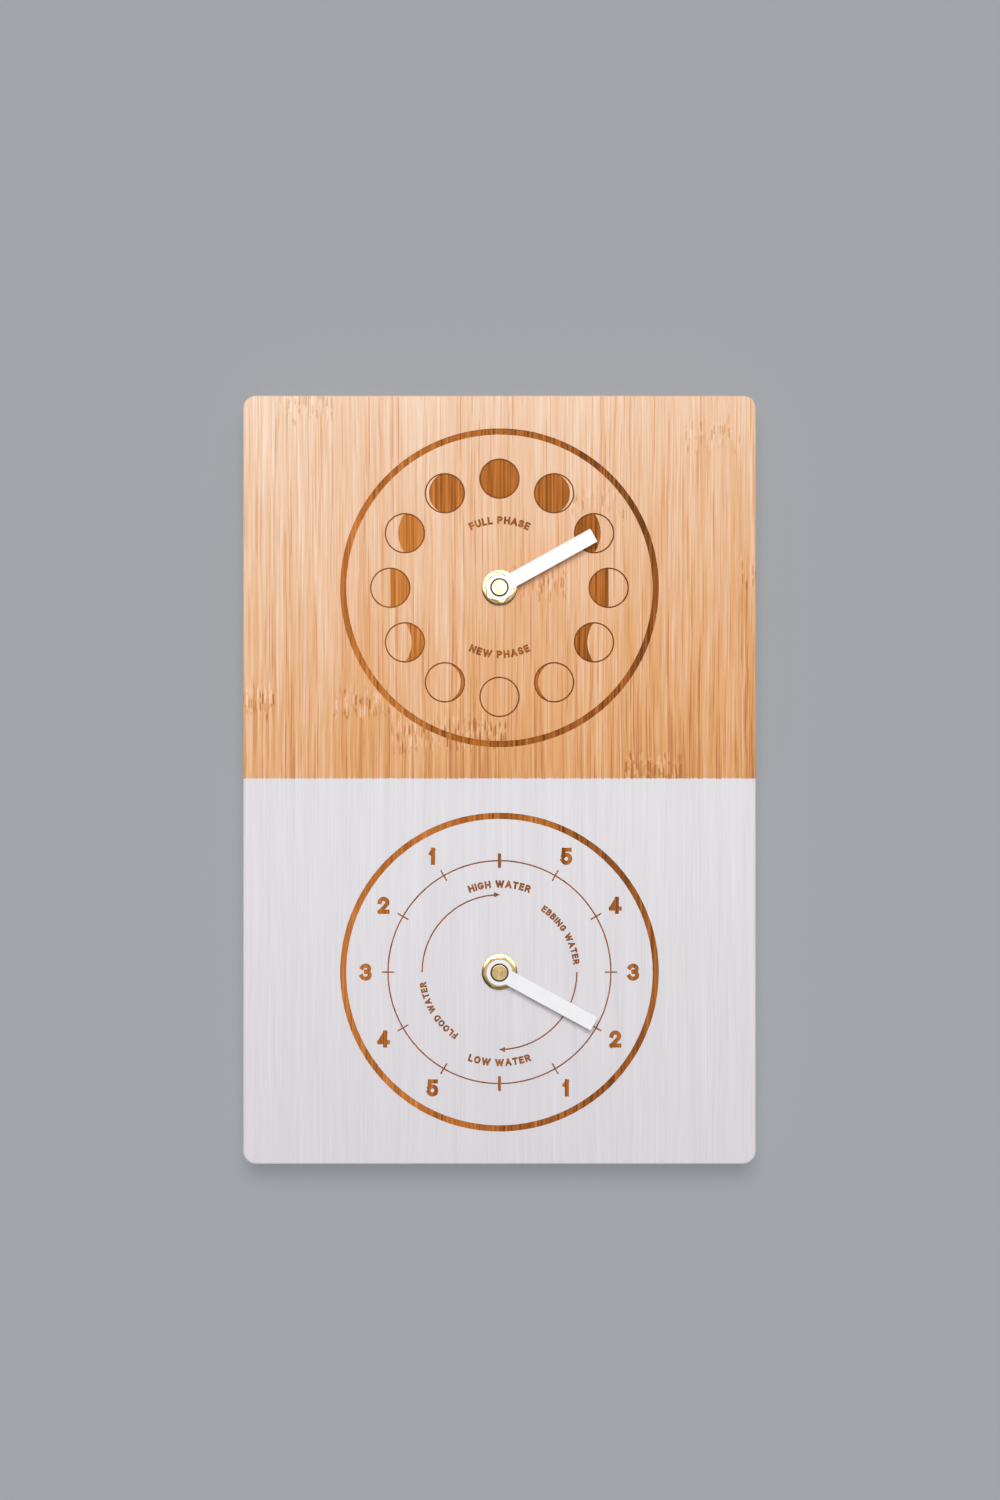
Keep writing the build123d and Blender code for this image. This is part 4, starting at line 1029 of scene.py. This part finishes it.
def cross_screw(name, x, z):
    """Countersunk wood screw.

    The head's face sinks by a cross, deepest at the middle; the shank's radius rises and falls with
    height / pitch - angle / one turn, so that the thread winds down to the point.
    """
    angle = turns(64)
    face_r = column(np.linspace(0, SCREW_HEAD_R - 0.12 * MM, 22))
    arm = face_r * np.minimum(np.abs(np.cos(angle)), np.abs(np.sin(angle)))
    reach = np.clip((CROSS_REACH - face_r) / (0.35 * MM), 0, 1)
    recess = np.clip((CROSS_HALF_W - arm) / (0.12 * MM), 0, 1) * reach * (CROSS_DEPTH - 0.35 * face_r)
    cone_r = column((SCREW_HEAD_R, SCREW_HEAD_R - 0.05 * MM, SCREW_R))
    cone_h = column((0.06 * MM, 0.12 * MM, SCREW_HEAD_R - SCREW_R + 0.05 * MM))
    down = column(np.linspace(SCREW_HEAD_R - SCREW_R + 0.1 * MM, SCREW_L, 120))
    taper = np.clip((SCREW_L - down) / (2 * SCREW_R), 0, 1)
    wave = np.abs(np.mod(down / SCREW_PITCH - angle / (2 * math.pi), 1.0) * 2 - 1)
    shank = SCREW_R * taper * (1 - THREAD_DEPTH * (1 - wave ** 3))
    all_round = np.zeros_like(angle)
    radius = np.concatenate((face_r + all_round, cone_r + all_round, shank))
    height = -np.concatenate((recess, cone_h + all_round, down + all_round))
    grid = around(radius, height, angle, (x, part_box("hanger_screws")[1].y, z), BACK_AXES)
    return mesh_object(name, skin("screw", grid), "steel", "clock")


def hanger_screws():
    """The two screws of the hanger plate."""
    low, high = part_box("hanger_screws")
    for side, x in (("left", low.x + SCREW_HEAD_R), ("right", high.x - SCREW_HEAD_R)):
        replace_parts(cross_screw(f"hanger_screw_{side}", x, (low.z + high.z) / 2), "hanger_screws")


def round_cell(dial):
    """Round cell about its own length.

    The profile goes from the middle of the flat end, over the rolled rim and the wrap's edge, to the nub.
    """
    low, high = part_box(f"{dial}_battery")
    wrap_r = (high.z - low.z) / 2
    can_r = wrap_r - WRAP_T
    rim_r = can_r - CELL_RIM
    length = high.x - low.x
    shoulder = length - CELL_NUB_L
    parts = (
        line((0, CELL_DISH), (CELL_DISH_R, CELL_DISH), (CELL_DISH_R + 0.4 * MM, 0.12 * MM),
             (wrap_r - CELL_RIM - 0.4 * MM, 0.12 * MM)),
        arc(rim_r, CELL_RIM, CELL_RIM, CELL_RIM, -90, 0, 7),
        line((can_r, WRAP_EDGE - 0.1 * MM), (wrap_r, WRAP_EDGE), (wrap_r, shoulder - WRAP_EDGE),
             (can_r, shoulder - WRAP_EDGE + 0.1 * MM)),
        arc(rim_r, shoulder - CELL_RIM, CELL_RIM, CELL_RIM, 0, 90, 7),
        line((CELL_NUB_R + 1.1 * MM, shoulder), (CELL_NUB_R + 0.7 * MM, shoulder - 0.15 * MM),
             (CELL_NUB_R, shoulder - 0.1 * MM)),
        arc(CELL_NUB_R - NUB_ROUND, length - NUB_ROUND, NUB_ROUND, NUB_ROUND, 0, 90, 7),
        line((0, length)),
    )
    centre = middle(f"{dial}_battery")
    grid = turned(parts, 72, (low.x, centre.y, centre.z), ACROSS_AXES)
    piece = mesh_object(f"{dial}_round_cell", skin("cell", grid), "battery_wrap", f"{dial}_cell")
    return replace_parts(piece, f"{dial}_battery")


SLOT_W = 1.4 * MM
SLOT_DEPTH = 0.5 * MM
SLOT_TURN = {"moon": 25.0, "tide": -40.0}
MARK_H = 0.4 * MM
MARK_W = 0.95 * MM
MARK_TOP_SHARE = 0.6
# The setting arrow runs round the knob from one angle to the other, at a distance from its rim
ARROW_ENDS = (35, 145)
ARROW_GAP = 3.2 * MM
SIGN_REACH = 1.3 * MM
SIGN_INSET = 3.5 * MM
SIGN_GAP = 3.2 * MM


def slotted_knob(dial):
    """The setting knob with a slot across its top."""
    low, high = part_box(f"{dial}_setting_knob")
    centre = middle(f"{dial}_setting_knob")
    reach = (high.x - low.x) / 2 - 2.0 * MM
    turn = math.radians(SLOT_TURN[dial])
    along = np.array((math.cos(turn), math.sin(turn))) * reach
    slot = np.array((centre.x, centre.z)) + np.stack((-along, along))
    cut = ridge(stroke(slot, SLOT_W), high.y + CUT_OVER, high.y - SLOT_DEPTH)
    return carved(f"{dial}_slotted_knob", f"{dial}_setting_knob", [cut], "knob_plastic", f"{dial}_knob")


def moulded_marks(dial):
    """Setting arrow beside the knob and the signs of the two poles, raised on the back of a movement."""
    knob = middle(f"{dial}_setting_knob")
    low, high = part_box(f"{dial}_battery")
    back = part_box(f"{dial}_cover")[1].y
    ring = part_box(f"{dial}_setting_knob")[1].x - knob.x + ARROW_GAP
    centre = np.array((knob.x, knob.z))
    lines = [centre + arc(0, 0, ring, ring, *ARROW_ENDS, 24)]
    for end, way in zip(ARROW_ENDS, (-1, 1)):
        outward = arc(0, 0, 1, 1, end, end, 1)[0]
        tangent = way * np.array((-outward[1], outward[0]))
        tip = centre + outward * ring
        lines += [np.stack((tip + tangent * 0.5 * MM, tip - tangent * 1.4 * MM + outward * side * 1.3 * MM))
                  for side in (-1, 1)]
    sign_z = high.z + SIGN_GAP
    plus_x = high.x - SIGN_INSET
    for at in (plus_x, low.x + SIGN_INSET):
        lines.append(line((at - SIGN_REACH, sign_z), (at + SIGN_REACH, sign_z)))
    lines.append(line((plus_x, sign_z - SIGN_REACH), (plus_x, sign_z + SIGN_REACH)))
    solids = [ridge(stroke(centre_line, MARK_W), back - MARK_H / 4, back + MARK_H, MARK_TOP_SHARE)
              for centre_line in lines]
    return mesh_object(f"{dial}_moulded_marks", solids_mesh("marks", solids), "case_plastic", "clock")


# Stage, light and camera

def flat_sheet(name, corners, material, hidden_from):
    """A plain four-cornered sheet of the stage, hidden from some kinds of ray."""
    mesh = bpy.data.meshes.new(name)
    mesh.from_pydata(corners, [], [tuple(range(4))])
    mesh.materials.append(material)
    sheet = bpy.data.objects.new(name, mesh)
    bpy.context.scene.collection.objects.link(sheet)
    for ray in hidden_from:
        setattr(sheet, f"visible_{ray}", False)


def wall_finish():
    """Grey wall seen from the front only: partly its own even light, partly lit, so it takes a shadow."""
    f = Finish("wall", Roughness=1.0, Specular_IOR_Level=0.0, Base_Color=colour(*WALL_COLOUR))
    glow = f.node("ShaderNodeEmission", None, {"Color": colour(*WALL_COLOUR), "Strength": 1.0})
    clear = f.node("ShaderNodeBsdfTransparent")
    from_behind = f.node("ShaderNodeNewGeometry").output("Backfacing")
    even = f.blend(Value(f, f.shader.outputs[0]), glow, WALL_GLOW)
    f.plug(f.tree.nodes["Material Output"].inputs["Surface"], f.blend(even, clear, from_behind))
    return f.material


def floor_finish():
    """Pale matt floor with a very faint mottle."""
    f = Finish("floor", Specular_IOR_Level=0.2)
    mottle = f.noise(f.place(), 0.3, 3)
    base = f.shade(colour(*FLOOR_COLOUR), 0.97 + mottle * 0.06)
    return f.done(Base_Color=base, Roughness=0.8 + mottle * 0.1)


def stage():
    """Wall behind the clock, and a floor well below it."""
    square = [(u * STAGE_REACH, v * STAGE_REACH) for u, v in ((-1, -1), (1, -1), (1, 1), (-1, 1))]
    flat_sheet("wall", [(u, WALL_GAP, v) for u, v in square], wall_finish(),
               ("diffuse", "glossy", "transmission", "shadow"))
    flat_sheet("floor", [(u, v, FLOOR_Z) for u, v in square], floor_finish(), ("diffuse", "glossy"))


def world():
    """Even soft light all round; the camera sees the wall's grey.

    Metal mirrors a lit ceiling, a pale floor, and a dark band below and beside the camera.
    """
    studio = bpy.data.worlds.new("studio")
    studio.use_nodes = True
    f = Nodes(studio.node_tree)
    light = f.tree.nodes["Background"]
    light.inputs["Color"].default_value = (1.0, 1.0, 1.0, 1.0)
    light.inputs["Strength"].default_value = ROOM_LIGHT
    x, _, z = f.coordinates("Generated")
    upward = f.ramp(z * 0.5 + 0.5, [(p * 0.5 + 0.5, (v, v, v, 1.0)) for p, v in MIRRORED_ROOM])
    beside = f.step(abs(x - 0.05), 0.05, 0.3) * (1 - f.step(abs(x), 0.35, 0.5) * 0.7)
    room = f.shade(upward, 1 - beside * 0.7)
    mirrored = f.node("ShaderNodeBackground", None, {"Color": room})
    seen = f.node("ShaderNodeBackground", None, {"Color": colour(*WALL_COLOUR)})
    path = f.node("ShaderNodeLightPath")
    in_view = f.math("MAXIMUM", path.output("Is Camera Ray"), path.output("Is Transmission Ray"))
    unseen = f.blend(Value(f, light.outputs[0]), mirrored, path.output("Is Glossy Ray"))
    f.plug(f.tree.nodes["World Output"].inputs[0], f.blend(unseen, seen, in_view))
    bpy.context.scene.world = studio


def aim(item, target):
    """Turn a lamp or camera to look at a point."""
    item.rotation_euler = (Vector(target) - item.location).to_track_quat("-Z", "Y").to_euler()


def lamp(name, kind, location, target, strength, **settings):
    """A lamp of any kind, aimed at a point."""
    data = bpy.data.lights.new(name, kind)
    data.energy = strength
    for key, value in settings.items():
        setattr(data, key, value)
    item = bpy.data.objects.new(name, data)
    item.location = location
    aim(item, target)
    bpy.context.scene.collection.objects.link(item)
    return item


def lights():
    """A soft key from above and in front, fills for the back and the sides, and a softbox for the gloss.

    The fills stand behind the face, so they leave it alone. The softbox stands above the middle of the clock,
    so the upper hub mirrors it and the lower hub does not.
    """
    for name, place, strength, across, mirrored in SUNS:
        sun = lamp(name, "SUN", place, (0, 0, 0), strength, angle=math.radians(across))
        sun.visible_glossy = mirrored
    softbox = lamp("front_box", "AREA", (0, -SOFTBOX_DISTANCE, SOFTBOX_HEIGHT), (0, 0, SOFTBOX_HEIGHT),
                   SOFTBOX_POWER, **SOFTBOX_SHAPE)
    softbox.visible_diffuse = False


def camera():
    """Straight on, far enough back that the edges hardly show."""
    data = bpy.data.cameras.new("camera")
    data.sensor_fit = "VERTICAL"
    data.sensor_height = SENSOR_H
    data.lens = SENSOR_H * VIEW_DISTANCE / FRAME_H
    item = bpy.data.objects.new("camera", data)
    item.location = (VIEW_SIDE, FACE - VIEW_DISTANCE, VIEW_HEIGHT)
    item.rotation_euler = (math.pi / 2, 0, 0)
    bpy.context.scene.collection.objects.link(item)
    bpy.context.scene.camera = item


# Dressing

SLOT_OF = {s["node"]: s["material_slot"] for s in frame["record"]["subparts"]}
for node_name, node_object in NODES.items():
    node_object.data.materials.clear()
    node_object.data.materials.append(FINISHES[SLOT_OF[node_name]])

carved("lettered_board", "board", dial_lettering(), "bamboo", "clock")
hanger_screws()
for dial_name in DIALS:
    turned_cap(dial_name)
    domed_washer(dial_name)
    hexagon_nut(dial_name)
    round_cell(dial_name)
    slotted_knob(dial_name)
    moulded_marks(dial_name)

stage()
world()
lights()
camera()
bpy.context.scene.view_settings.view_transform = "Standard"
